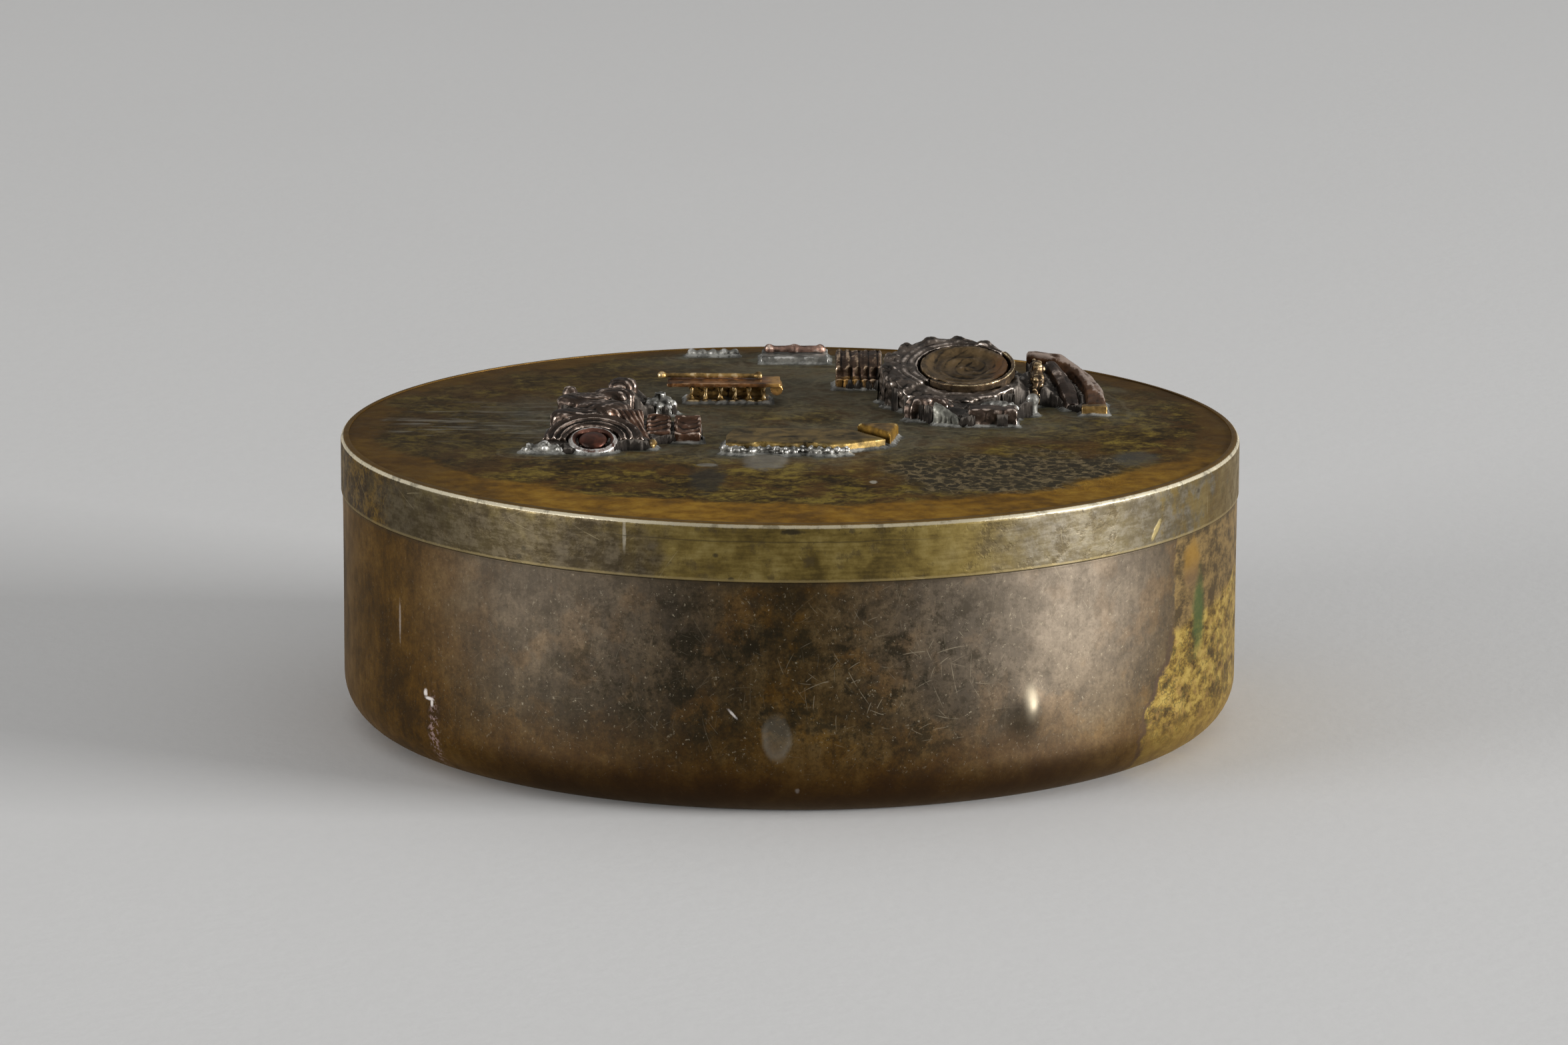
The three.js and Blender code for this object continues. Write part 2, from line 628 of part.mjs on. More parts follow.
// The mane: a lobed body with curls on its rim, cut round the bowl and away at the crescent's right,
// with a lower fold that runs under the crescent's front.
function dishMane() {
  const outline = oval([MANE_RADIUS, MANE_RADIUS], MANE_LOBES, MANE_LOBE_DEPTH, 4 * MANE_LOBES);
  const curls = Array.from({ length: CURL_COUNT }, (_, i) => {
    const angle = radians(lerp(CURL_FROM, CURL_TO, i / (CURL_COUNT - 1)));
    const reach = MANE_RADIUS - CURL_RADIUS;
    return ball(CURL_RADIUS, reach * Math.cos(angle), reach * Math.sin(angle), -CURL_SINK);
  });
  const body = [pad(outline, ROOT_DEPTH, MANE_EDGE, -ROOT_DEPTH), ...curls]
    .map((geometry) => leaned(geometry.translate(...MANE_OFFSET, 0), DISH_TILT, DISH_LIFT))
    .reduce((whole, part) => whole.add(part));
  const [low, high] = [-2 * ROOT_DEPTH, ROOT_DEPTH];
  const turn = THREE.MathUtils.radToDeg(MOUNT_GAP / CRESCENT_OUTER);
  const [from, to] = [CRESCENT_FROM - turn, CRESCENT_TO + turn];
  const foldOuter = FOLD_INNER + FOLD_WIDTH;
  const fold = ringSector(CRESCENT_INNER, foldOuter, from - 2 * turn, FOLD_TO, -ROOT_DEPTH, -FOLD_DROP);
  const cuts = [
    plug(CRESCENT_INNER, low, high, LEANED_STEPS),
    ringSector(BOWL_RADIUS, FOLD_INNER, from, FOLD_TO, low, high),
    ringSector(BOWL_RADIUS, 3 * MANE_RADIUS, from, FOLD_TO, -FOLD_DROP, high),
    ringSector(BOWL_RADIUS, 3 * MANE_RADIUS, FOLD_TO, to, low, high),
  ];
  return standing(cuts.reduce((rest, cut) => rest.subtract(leanedDish(cut)), body.add(leanedDish(fold))));
}

function giltScroll() {
  const knobs = GILT_KNOBS.map(([x, y, z, radius]) => ball(radius, x, y, z));
  return standing(join([wallAlong(GILT_SCROLL), ...knobs]));
}

function silverBead() {
  const { radius, height, stalk } = SILVER_BEAD;
  return join([plug(radius * stalk, 0, height - radius, BEAD_STEPS), ball(radius, 0, 0, height - radius)]);
}

// The fluted block: rounded flutes side by side, with a plain ledge along their foot.
function flutedBlock() {
  const { half, height } = FLUTED_BLOCK;
  const pitch = (2 * half[0]) / FLUTE_COUNT;
  const front = -half[1];
  const flutes = Array.from({ length: FLUTE_COUNT }, (_, i) => {
    const x = (i + 0.5) * pitch - half[0];
    const width = pitch / 2 + FLUTE_LAP;
    return wallAlong([
      [x, front + FLUTE_LEDGE, height * FLUTE_FRONT, width],
      [x, 0, height, width],
      [x, half[1], height + FLUTE_RISE, width],
    ]);
  });
  const ledgeDepth = 2 * FLUTE_LEDGE;
  const ledge = pad(rectangle([half[0], ledgeDepth / 2]), FLUTE_LEDGE_HEIGHT, FLUTE_LEDGE_EASE)
    .translate(0, front + ledgeDepth / 2, 0);
  return join([ledge, ...flutes]);
}


// A place near the lid's back edge, for a bar's shift to the side and its inset from the edge.
function backPlace({ shift, inset }) {
  return [shift, DISC_RADIUS - inset];
}

const shelfTop = POST_HEIGHT + SHELF_THICKNESS;

const box = groupAt([0, 0], 0, [
  piece("body_shell", bodyShell(), "bronze"),
  piece("neck_collar", neckCollar(), "brass"),
]);

const volute = groupAt(VOLUTE_PLACE, DISC_TOP, [
  piece("volute_boss", voluteBoss(), "copper"),
  piece("volute_ring", voluteRing(), "silver"),
  piece("volute_hood", voluteHood(), "dark_copper"),
  piece("volute_toe", voluteToe(), "dark_copper"),
  piece("rib_fan", ribFan(), "dark_copper"),
  piece("foot_beads", footBeads(), "gilt"),
  piece("panel_left", panelBlock(PANEL_LEFT.half), "copper", PANEL_LEFT.place),
  piece("panel_right", panelBlock(PANEL_RIGHT.half), "copper", PANEL_RIGHT.place),
  piece("tiered_leaf", tieredLeaf(), "dark_copper", TIER_PLACE),
  piece("petal", ovalPad(PETAL), "dark_copper", PETAL.place),
  piece("bud", ovalPad(BUD), "dark_copper", BUD.place),
  piece("rosette", rosette(), "silver", ROSETTE.place),
]);

const gallery = groupAt(GALLERY_PLACE, DISC_TOP, [
  piece("gallery_row", galleryRow(), "silver"),
  piece("gallery_shelf", galleryShelf(), "copper", [SHELF_SHIFT, 0], POST_HEIGHT),
  piece("gallery_rod", beadedBar(ROD), "gilt", ROD.place, shelfTop),
]);

const plaque = groupAt(PLAQUE_PLACE, DISC_TOP, [
  piece("plaque_plate", plaquePlate(), "brass"),
  piece("plaque_beading", plaqueBeading(), "silver"),
  piece("plaque_corner", pad(CORNER_OUTLINE, CORNER_HEIGHT, CORNER_EDGE), "gilt"),
]);

const dish = groupAt(DISH_PLACE, DISC_TOP, [
  piece("dish_bowl", dishBowl(), "copper"),
  piece("dish_crescent", dishCrescent(), "gilt"),
  piece("dish_mane", dishMane(), "dark_copper"),
  piece("bib", ovalPad(BIB), "dark_copper", BIB.place),
  piece("front_block", rectanglePad(FRONT_BLOCK), "dark_copper", FRONT_BLOCK.place),
  piece("silver_tuft", ovalPad(TUFT), "silver", TUFT.place),
  piece("silver_leaf", wallAlong(SILVER_LEAF), "silver"),
  piece("gilt_scroll", giltScroll(), "gilt"),
  piece("silver_bead", silverBead(), "silver", SILVER_BEAD.place),
  piece("swept_leaf", wallAlong(SWEPT_LEAF), "dark_copper"),
  piece("wing", wallAlong(WING), "copper"),
  piece("wing_end", rectanglePad(WING_END), "gilt", WING_END.place),
  piece("fluted_block", flutedBlock(), "copper", FLUTED_BLOCK.place),
]);

const bars = groupAt([0, 0], DISC_TOP, [
  piece("silver_bar", beadedBar(SILVER_BAR), "silver", backPlace(SILVER_BAR)),
  piece("bar_plate", rectanglePad(BAR_PLATE), "silver", backPlace(BAR_PLATE)),
  piece("copper_bar", beadedBar(COPPER_BAR), "copper", backPlace(BAR_PLATE), BAR_PLATE.height),
]);

const lid = groupAt([0, 0], BODY_HEIGHT, [
  piece("lid_band", lidBand(), "brass"),
  piece("lid_disc", plug(DISC_RADIUS, DISC_TOP - DISC_THICKNESS, DISC_TOP, ROUND_STEPS), "patina"),
  volute,
  gallery,
  plaque,
  dish,
  bars,
]);

const group = new THREE.Group();
group.name = "lidded_box";
group.add(box, lid);
export default group;
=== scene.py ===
import json
import math

import bpy
import numpy as np
from mathutils import Matrix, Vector
from mathutils.kdtree import KDTree


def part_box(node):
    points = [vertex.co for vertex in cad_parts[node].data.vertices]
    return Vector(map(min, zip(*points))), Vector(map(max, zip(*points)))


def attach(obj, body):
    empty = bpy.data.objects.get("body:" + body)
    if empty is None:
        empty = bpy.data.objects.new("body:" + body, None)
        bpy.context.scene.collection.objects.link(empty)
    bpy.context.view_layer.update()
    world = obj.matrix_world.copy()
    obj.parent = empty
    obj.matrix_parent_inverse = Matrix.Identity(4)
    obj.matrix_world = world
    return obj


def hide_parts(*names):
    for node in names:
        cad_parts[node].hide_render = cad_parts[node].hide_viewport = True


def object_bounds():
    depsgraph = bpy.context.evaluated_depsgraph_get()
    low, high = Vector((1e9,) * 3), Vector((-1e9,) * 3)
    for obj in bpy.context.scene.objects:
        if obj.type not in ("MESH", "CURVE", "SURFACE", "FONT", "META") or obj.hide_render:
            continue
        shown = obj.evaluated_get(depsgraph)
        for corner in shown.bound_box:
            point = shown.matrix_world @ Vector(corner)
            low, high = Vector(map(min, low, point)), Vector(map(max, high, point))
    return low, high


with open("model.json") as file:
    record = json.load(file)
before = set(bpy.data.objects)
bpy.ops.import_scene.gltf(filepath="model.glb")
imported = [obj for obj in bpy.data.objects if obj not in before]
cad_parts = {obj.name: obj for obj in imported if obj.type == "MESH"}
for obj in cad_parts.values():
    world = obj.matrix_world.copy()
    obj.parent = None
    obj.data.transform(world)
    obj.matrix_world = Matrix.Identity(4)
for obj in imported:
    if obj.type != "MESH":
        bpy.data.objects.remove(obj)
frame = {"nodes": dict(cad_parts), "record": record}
cad_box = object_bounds()

MM = 0.001

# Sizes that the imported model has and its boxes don't give
BASE_CORNER = 6.0
BODY_WALL = 0.9
BASE_THICKNESS = 1.0
COLLAR_WALL = 0.8
BAND_ROUND = 0.8
VOLUTE_PLACE = (-24.9, -13.3)
VOLUTE_TILT = 20.0
VOLUTE_LIFT = 1.3
DISH_PLACE = (20.8, 18.0)
DISH_TILT = 15.0
DISH_LIFT = 4.9
BOWL_OFFSET = (1.9, 0.8)
SWEEP_OFFSET = (-3.0, -3.0)

# Fineness of the meshes
ROUND_STEPS = 512
LID_STEPS = 320
EDGE_EASE = 0.2
THIN_EASE = 0.03
CLEAR = 0.02

# The knock in the wall, pushed out from inside: degrees right of the front, height, reach and rise
KNOCK_ANGLE = 30.6
KNOCK_HEIGHT = 12.0
KNOCK_REACH = 1.9
KNOCK_RISE = 0.85

# How far the tops of the curls round the dish are worn down
CURL_WEAR = 0.6

# Solder: how far it runs out from a mount and climbs it, how high a mount's foot reaches,
# and blobs on the disc as (x, y), (half x, half y) and rise
SOLDER_REACH = 0.8
SOLDER_RISE = 0.45
FOOT_HEIGHT = 0.4
NET_CELL = 0.2
BLOBS = [((-3.2, -19.5), (2.8, 5.3), 0.16), ((-10.4, -21.9), (1.3, 1.0), 0.10)]

# Dark mass between the pieces of the large groups, its darkness partly painted shade: half the widest gap
# that it fills, its height as a share of what stands near it, and how many cells of the net away that is
# looked for
FILLED = ("volute", "dish")
GAP_REACH = 1.9
GAP_LEVEL = 0.76
GAP_WINDOW = 7

# Light: azimuth from the front and power in watts, and the room's grey at the horizon and overhead
SOFTBOX_RIGHT = (75, 140.0)
SOFTBOX_LEFT = (-64, 58.0)
SOFTBOX_DISTANCE = 2.5
SOFTBOX_SIZE = (1.25, 0.55)
SOFTBOX_LIFT = 0.02
ROOM_GREYS = (0.11, 0.46)

# Camera, fitted to the photograph
CAMERA_PLACE = (-0.000748, -0.88525, 0.21649)
CAMERA_PITCH = 12.23
CAMERA_ROLL = 0.004
CAMERA_LENS = 161.9


# Random values that are the same in each run

def lattice_value(corner, seed):
    mixed = corner @ np.array([73856093, 19349663, 83492791]) + seed * 40503
    mixed = (mixed ^ (mixed >> 13)) * 1274126177
    return ((mixed ^ (mixed >> 16)) & 0xFFFF) / 32767.5 - 1


def waver(points, size, seed=0):
    """Smooth random values from -1 to 1 at points, in cells of one size."""
    cell = points / size
    corner = np.floor(cell).astype(np.int64)
    part = cell - corner
    part = part * part * (3 - 2 * part)
    total = np.zeros(len(points))
    for offset in np.ndindex(2, 2, 2):
        weight = np.prod(np.where(offset, part, 1 - part), axis=1)
        total += weight * lattice_value(corner + offset, seed)
    return total


def knobs(points, size, seed=0, spread=0.35):
    """Rounded knobs of about one size, packed at random: 1 on a knob's top, 0 between knobs."""
    cell = points / size
    base = np.floor(cell).astype(np.int64)
    nearest = np.full(len(points), 4.0)
    for offset in np.ndindex(3, 3, 3):
        corner = base + offset - 1
        jitter = np.stack([lattice_value(corner, seed + axis) for axis in range(3)], axis=1)
        gap = np.linalg.norm(cell - corner - 0.5 - spread * jitter, axis=1)
        nearest = np.minimum(nearest, gap)
    return np.clip(1 - (nearest / 0.75) ** 2, 0, 1)


def ease(value, low, high):
    """0 below low, 1 above high, smooth between."""
    share = np.clip((value - low) / (high - low), 0, 1)
    return share * share * (3 - 2 * share)


def distances(points, targets, cell=0.3):
    """Distance in plan from each point to the nearest target."""
    spots = np.unique(np.round(targets[:, :2] / cell).astype(int), axis=0) * cell
    tree = KDTree(len(spots))
    for i, (x, y) in enumerate(spots):
        tree.insert((x, y, 0), i)
    tree.balance()
    return np.array([tree.find((x, y, 0))[2] for x, y in points[:, :2]])


# Meshes

def coordinates(mesh, field="co"):
    values = np.empty(len(mesh.vertices) * 3)
    mesh.vertices.foreach_get(field, values)
    return values.reshape(-1, 3)


def reach_of(points):
    """Distance of each point from the axis."""
    return np.hypot(points[:, 0], points[:, 1])


def node_box(node):
    """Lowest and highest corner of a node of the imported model, in millimetres."""
    low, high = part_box(node)
    return np.array(low) / MM, np.array(high) / MM


BODY_RADIUS, _, BODY_TOP = node_box("body_shell")[1]
BAND_TOP = node_box("lid_band")[1][2]
DISC_TOP = node_box("lid_disc")[1][2]
SLOTS = {part["node"]: part["material_slot"] for part in frame["record"]["subparts"]}


def piece(name, points, faces, body, slot, material, replaced=(), **fields):
    """A smooth-shaded mesh from points in millimetres, riding on a body."""
    mesh = bpy.data.meshes.new(name)
    mesh.from_pydata((np.asarray(points) * MM).tolist(), [], faces)
    mesh.shade_smooth()
    for field, values in fields.items():
        store(mesh, field, values)
    place_piece(name, mesh, body, material, replaced)


def store(mesh, field, values):
    """A value for each point of a mesh, for its material to read."""
    mesh.attributes.new(field, "FLOAT", "POINT").data.foreach_set("value", values)


def added(name, data):
    """A new object in the scene."""
    thing = bpy.data.objects.new(name, data)
    bpy.context.scene.collection.objects.link(thing)
    return thing


def place_piece(name, mesh, body, material, replaced=()):
    thing = added(name, mesh)
    thing.data.materials.clear()
    thing.data.materials.append(material)
    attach(thing, body)
    for node in replaced:
        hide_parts(node)


def profile_points(corners, closed):
    """Points along a profile of (radius, height, corner radius, spacing to the next corner)."""
    rows = [np.array(corner[:2], float) for corner in corners]
    count = len(rows)
    points = []
    for i, (_, _, radius, spacing) in enumerate(corners):
        here = rows[i]
        after = rows[(i + 1) % count]
        onward = (after - here) / np.linalg.norm(after - here)
        if radius:
            back = here - rows[i - 1]
            back = back / np.linalg.norm(back)
            centre = here - radius * back + radius * onward
            for turn in np.linspace(0, math.pi / 2, 13):
                points.append(centre - radius * onward * math.cos(turn) + radius * back * math.sin(turn))
        else:
            points.append(here)
        if i == count - 1 and not closed:
            break
        start = here + radius * onward
        stop = after - corners[(i + 1) % count][2] * onward
        steps = max(1, round(np.linalg.norm(stop - start) / spacing))
        for step in range(1, steps):
            points.append(start + (stop - start) * step / steps)
    return np.array(points)


def revolved(profile, steps, closed, relief=None):
    """Points and faces of a profile turned about Z, with poles where an open profile meets the axis."""
    turns = np.arange(steps) * 2 * math.pi / steps
    ring = profile if closed else profile[1:-1]
    radius, angle = np.meshgrid(ring[:, 0], turns, indexing="ij")
    height = np.repeat(ring[:, 1:2], steps, axis=1)
    points = np.stack([radius * np.sin(angle), -radius * np.cos(angle), height], axis=2).reshape(-1, 3)
    if relief:
        points = relief(points)
    count = len(ring)
    faces = []
    for i in range(count if closed else count - 1):
        low = i * steps
        high = ((i + 1) % count) * steps
        for j in range(steps):
            k = (j + 1) % steps
            faces.append((low + j, low + k, high + k, high + j))
    if not closed:
        first = len(points)
        points = np.vstack([points, [0, 0, profile[0, 1]], [0, 0, profile[-1, 1]]])
        last = (count - 1) * steps
        for j in range(steps):
            k = (j + 1) % steps
            faces.append((first, k, j))
            faces.append((first + 1, last + j, last + k))
    return points, faces


def fine_mesh(node, voxel, smoothing):
    """A node's mesh in millimetres as an even net of small faces, its facets smoothed away."""
    source = frame["nodes"][node].data.copy()
    source.transform(Matrix.Scale(1 / MM, 4))
    rough = added("rough_" + node, source)
    net = rough.modifiers.new("net", "REMESH")
    net.mode = "VOXEL"
    net.voxel_size = voxel
    soften = rough.modifiers.new("soften", "SMOOTH")
    soften.iterations = smoothing
    evaluated = rough.evaluated_get(bpy.context.evaluated_depsgraph_get())
    mesh = bpy.data.meshes.new_from_object(evaluated)
    bpy.data.objects.remove(rough)
    return mesh


# Material graphs

# Colours are red, green and blue in thousandths, in linear light
BLACK = (10, 8, 6)
ORANGE_GILT = (660, 370, 110)


def linear(colour):
    return (*(part / 1000 for part in colour), 1.0)


class Field:
    """A value, vector or colour in a material's graph, with arithmetic."""

    def __init__(self, graph, socket):
        self.graph = graph
        self.socket = socket

    def __add__(self, other):
        return self.graph.math("ADD", self, other)

    def __sub__(self, other):
        return self.graph.math("SUBTRACT", self, other)

    def __mul__(self, other):
        return self.graph.math("MULTIPLY", self, other)

    def __truediv__(self, other):
        return self.graph.math("DIVIDE", self, other)

    def __rsub__(self, other):
        return self.graph.math("SUBTRACT", other, self)


class Graph:
    """The node graph of one material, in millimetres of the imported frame."""

    def __init__(self, name):
        self.material = bpy.data.materials.new(name)
        self.material.use_nodes = True
        self.tree = self.material.node_tree
        self.tree.nodes.clear()
        self.shader = self.node("ShaderNodeBsdfPrincipled")
        output = self.node("ShaderNodeOutputMaterial")
        self.tree.links.new(self.shader.outputs[0], output.inputs[0])
        place = self.node("ShaderNodeTexCoord").outputs["Object"]
        self.place = self.scaled(Field(self, place), 1 / MM)
        self.x, self.y, self.z = self.parts(self.place)
        # Degrees round the axis, 0 at the front and positive to the right
        self.turn = self.math("ARCTAN2", self.x, self.y * -1.0) * math.degrees(1)

    def node(self, kind):
        return self.tree.nodes.new(kind)

    def feed(self, socket, value):
        if isinstance(value, Field):
            self.tree.links.new(value.socket, socket)
        elif socket.type == "RGBA":
            socket.default_value = linear(value)
        else:
            socket.default_value = value

    def operate(self, kind, operation, first, second):
        node = self.node(kind)
        node.operation = operation
        self.feed(node.inputs[0], first)
        self.feed(node.inputs[1], second)
        return Field(self, node.outputs[0])

    def math(self, operation, first, second=0.0):
        return self.operate("ShaderNodeMath", operation, first, second)

    def scaled(self, vector, factor):
        factors = factor if isinstance(factor, tuple) else (factor, factor, factor)
        return self.operate("ShaderNodeVectorMath", "MULTIPLY", vector, factors)

    def shifted(self, vector, offset):
        return self.operate("ShaderNodeVectorMath", "ADD", vector, offset)

    def parts(self, vector):
        node = self.node("ShaderNodeSeparateXYZ")
        self.feed(node.inputs[0], vector)
        return [Field(self, socket) for socket in node.outputs]

    def texture(self, kind, place, **settings):
        node = self.node(kind)
        self.feed(node.inputs["Vector"], place)
        node.inputs["Scale"].default_value = 1.0
        for name, value in settings.items():
            node.inputs[name].default_value = value
        return node

    def noise(self, size, detail=4, roughness=0.6, stretch=(1, 1, 1), warp=0.0, seed=0):
        """Fractal noise about 0.5, its features of that size in millimetres, longer where stretch is."""
        vector = self.scaled(self.place, tuple(1 / (size * part) for part in stretch))
        if seed:
            vector = self.shifted(vector, (seed * 17.3, seed * -9.1, seed * 5.7))
        settings = {"Detail": detail, "Roughness": roughness, "Distortion": warp}
        return Field(self, self.texture("ShaderNodeTexNoise", vector, **settings).outputs[0])

    def blots(self, size, detail, roughness, seed, low, high):
        """1 where a noise is high, 0 where it is low."""
        return self.between(self.noise(size, detail, roughness, seed=seed), low, high)

    def cells(self, size, feature="F1", where=None, stretch=(1, 1, 1)):
        """Distance to the nearest of many scattered points, or to the edge between their cells."""
        scale = tuple(1 / (size * part) for part in stretch)
        node = self.texture("ShaderNodeTexVoronoi", self.scaled(where or self.place, scale))
        node.feature = feature
        return Field(self, node.outputs["Distance"])

    def between(self, value, low, high, to_low=0.0, to_high=1.0):
        """to_low where the value is below low, to_high where it is above high, smooth between."""
        node = self.node("ShaderNodeMapRange")
        node.interpolation_type = "SMOOTHSTEP"
        self.feed(node.inputs["Value"], value)
        limits = (low, high, to_low, to_high)
        for name, limit in zip(("From Min", "From Max", "To Min", "To Max"), limits):
            self.feed(node.inputs[name], limit)
        return Field(self, node.outputs[0])

    def mix(self, factor, first, second):
        node = self.node("ShaderNodeMix")
        node.data_type = "RGBA"
        sockets = [socket for socket in node.inputs if socket.enabled]
        for socket, value in zip(sockets, (factor, first, second)):
            self.feed(socket, value)
        return Field(self, next(socket for socket in node.outputs if socket.enabled))

    def laid(self, colour, *layers):
        """A colour with layers on it, each as how much of it shows and its colour."""
        for share, coat in layers:
            colour = self.mix(share, colour, coat)
        return colour

    def ramp(self, value, *stops):
        """A colour from (position, (red, green, blue)) stops."""
        node = self.node("ShaderNodeValToRGB")
        self.feed(node.inputs[0], value)
        elements = node.color_ramp.elements
        while len(elements) < len(stops):
            elements.new(0.5)
        for element, (position, colour) in zip(elements, stops):
            element.position = position
            element.color = linear(colour)
        return Field(self, node.outputs[0])

    def hypot(self, first, second):
        return self.math("SQRT", first * first + second * second)

    def most(self, first, *others):
        for other in others:
            first = self.math("MAXIMUM", first, other)
        return first

    def size_of(self, value):
        return self.math("ABSOLUTE", value)

    def stored(self, field):
        """A value that is stored with each point of the mesh."""
        node = self.node("ShaderNodeAttribute")
        node.attribute_name = field
        return Field(self, node.outputs["Fac"])

    def spot(self, across, up, centre, half, soft=0.35, ragged=0.0, grain=1.0):
        """1 inside an oval in two coordinates, 0 outside, with a soft or ragged edge."""
        reach = self.hypot((across - centre[0]) / half[0], (up - centre[1]) / half[1])
        if ragged:
            reach = reach + (self.noise(grain, 2, 0.55, seed=centre[0] * 0.37) - 0.5) * (2 * ragged)
        return self.between(reach, 1 - soft, 1 + soft, 1.0, 0.0)

    def mark(self, *oval):
        """A spot on the wall, in degrees round the axis and millimetres up."""
        return self.spot(self.turn, self.z, *oval)

    def patch(self, *oval):
        """A spot on the lid, in millimetres to the right and to the back."""
        return self.spot(self.x, self.y, *oval)

    def strokes(self, size, half_width, seed):
        """Short scratches on the wall, one in each cell of a scattered net, each turned its own way."""
        node = self.node("ShaderNodeCombineXYZ")
        self.feed(node.inputs[0], self.turn / size + seed * 3.7)
        self.feed(node.inputs[1], self.z / size)
        plan = Field(self, node.outputs[0])
        node = self.texture("ShaderNodeTexVoronoi", plan)
        node.voronoi_dimensions = "2D"
        chance, spin, _ = self.parts(Field(self, node.outputs["Color"]))
        middle = self.parts(Field(self, node.outputs["Position"]))
        here = self.parts(plan)
        right = here[0] - middle[0]
        rise = here[1] - middle[1]
        cosine = self.math("COSINE", spin * math.pi)
        sine = self.math("SINE", spin * math.pi)
        along = right * cosine + rise * sine
        bend = along * along * (chance - 0.5) * 0.4
        side = self.size_of(rise * cosine - right * sine + bend)
        line = self.between(side, half_width / size, half_width * 0.3 / size)
        return line * self.between(self.size_of(along), 0.6, 0.15) * self.between(chance, 0.3, 0.9)

    def curvature(self):
        """About 0.5 on flats, more on ridges and outer edges, less in hollows."""
        return Field(self, self.node("ShaderNodeNewGeometry").outputs["Pointiness"])

    def done(self, colour, roughness, bumps, metallic, specular=0.5, tint=(1000, 1000, 1000)):
        """Plugs the finish in. Each bump is a height in millimetres."""
        inputs = self.shader.inputs
        self.feed(inputs["Base Color"], colour)
        self.feed(inputs["Roughness"], roughness)
        self.feed(inputs["Metallic"], metallic)
        self.feed(inputs["Specular IOR Level"], specular)
        self.feed(inputs["Specular Tint"], tint)
        node = self.node("ShaderNodeBump")
        node.inputs["Distance"].default_value = MM
        self.feed(node.inputs["Height"], sum(bumps[1:], bumps[0]))
        self.tree.links.new(node.outputs[0], inputs["Normal"])
        return self.material


# Body and band. Places on the wall are degrees to the right of the front and millimetres up.

# Pale marks on the body as middle, half size, softness, raggedness and grain of the edge, and strength
PALE_MARKS = [
    ((-51.9, 10.5), (0.35, 0.45), 0.5, 0.5, 0.4, 0.8),
    ((-51.1, 9.9), (0.8, 0.22), 0.5, 0.5, 0.4, 0.8),
    ((-50.6, 9.4), (0.25, 0.5), 0.5, 0.5, 0.4, 0.8),
    ((-57.8, 18.6), (0.2, 2.4), 0.5, 0.6, 0.5, 0.25),
    ((1.0, 3.6), (0.25, 0.3), 0.5, 0.5, 0.4, 0.5),
]

# Scratches on the body as the size of their cells, half their width and their seed
SCRATCHES = [(1.9, 0.06, 1), (2.7, 0.06, 7), (4.1, 0.07, 3), (6.3, 0.07, 5)]


def body_material():
    """Brown patina, greyer above where worn and painted with the side lights' highlights, orange-brown low
    down and at the left, painted shade at the foot and below the lid; bare brass at the right.
    """
    g = Graph("body_bronze")
    broad = g.noise(17, 2, 0.5)
    cloud = g.noise(5.0, 4, 0.55, warp=0.3)
    mottle = g.noise(1.8, seed=3)
    fine = g.noise(0.45, 3, 0.7)
    runs = g.noise(1.3, stretch=(1, 1, 7), seed=5)
    tone = broad * 0.28 + cloud * 0.26 + mottle * 0.17 + runs * 0.12 + fine * 0.17
    brown = g.ramp(tone, (0.41, (8, 5, 2)), (0.48, (20, 12, 4)),
                   (0.53, (39, 23, 7)), (0.6, (74, 48, 19)))
    warm = g.ramp(tone, (0.41, (26, 11, 1)), (0.5, (70, 31, 2)),
                  (0.6, (125, 62, 7)))
    wander = (cloud - 0.5) * 26
    low = g.between(g.z + wander * 0.5, 13, 2.5) * g.between(g.turn, 44, 20, 0.7, 1.0)
    left = g.most(g.between(g.turn + wander, -37, -51), g.between(g.turn + wander, 125, 160))
    patches = g.blots(6, 4, 0.6, 16, 0.5, 0.62) * 0.55
    # Pale grey high at both sides: partly worn patina, partly a painted highlight where the side lights
    # are reflected
    rubbed_and_highlight = g.most(g.mark((34, 27), (18, 15), 0.9), g.mark((-31, 27), (17, 14), 0.9) * 0.6)
    rubbed_and_highlight = rubbed_and_highlight * g.between(tone, 0.4, 0.6, 0.45, 0.85)
    colour = g.laid(
        brown,
        (g.most(low, left * 0.9, patches) * 0.9, warm),
        (rubbed_and_highlight, (160, 132, 103)),
        (front_stains(g), (7, 6, 3)),
        (front_specks(g), (240, 205, 145)),
    )
    marks, colour = body_marks(g, bare_patch(g, colour))
    # Painted shade at the foot: the front of the wall is darkened towards the bottom
    foot = g.between(g.z + wander * 0.25, 12.0, 1.5) * g.between(g.size_of(g.turn - 4), 62, 30)
    # A painted shadow along the top of the wall, under the lid band's overhanging lip
    seam_shadow = g.between(g.z, BODY_TOP - 0.8, BODY_TOP - 0.1)
    inner = g.ramp(tone, (0.42, (50, 33, 11)), (0.6, (145, 105, 42)))
    colour = g.laid(
        colour,
        (foot * 0.9, (14, 5, 1)),
        (seam_shadow * 0.5, (20, 15, 9)),
        (wall_depth(g), inner),
    )
    rough = g.between(tone, 0.42, 0.6, 0.5, 0.42) + (fine - 0.5) * 0.10 + marks * 0.2
    height = [cloud * 0.03, mottle * 0.015, fine * 0.008, marks * 0.06]
    metallic = g.between(marks, 0, 1, 0.55, 0.0)
    return g.done(colour, rough, height, metallic, specular=0.28, tint=(1000, 800, 550))


def wall_depth(g):
    """0 on the outside of the shell, 1 on its inside."""
    straight = g.most(g.hypot(g.x, g.y) - (BODY_RADIUS - BASE_CORNER), 0.0)
    low = g.math("MINIMUM", g.z - BASE_CORNER, 0.0)
    return g.between(g.hypot(straight, low), BASE_CORNER - 0.35, BASE_CORNER - 0.65)


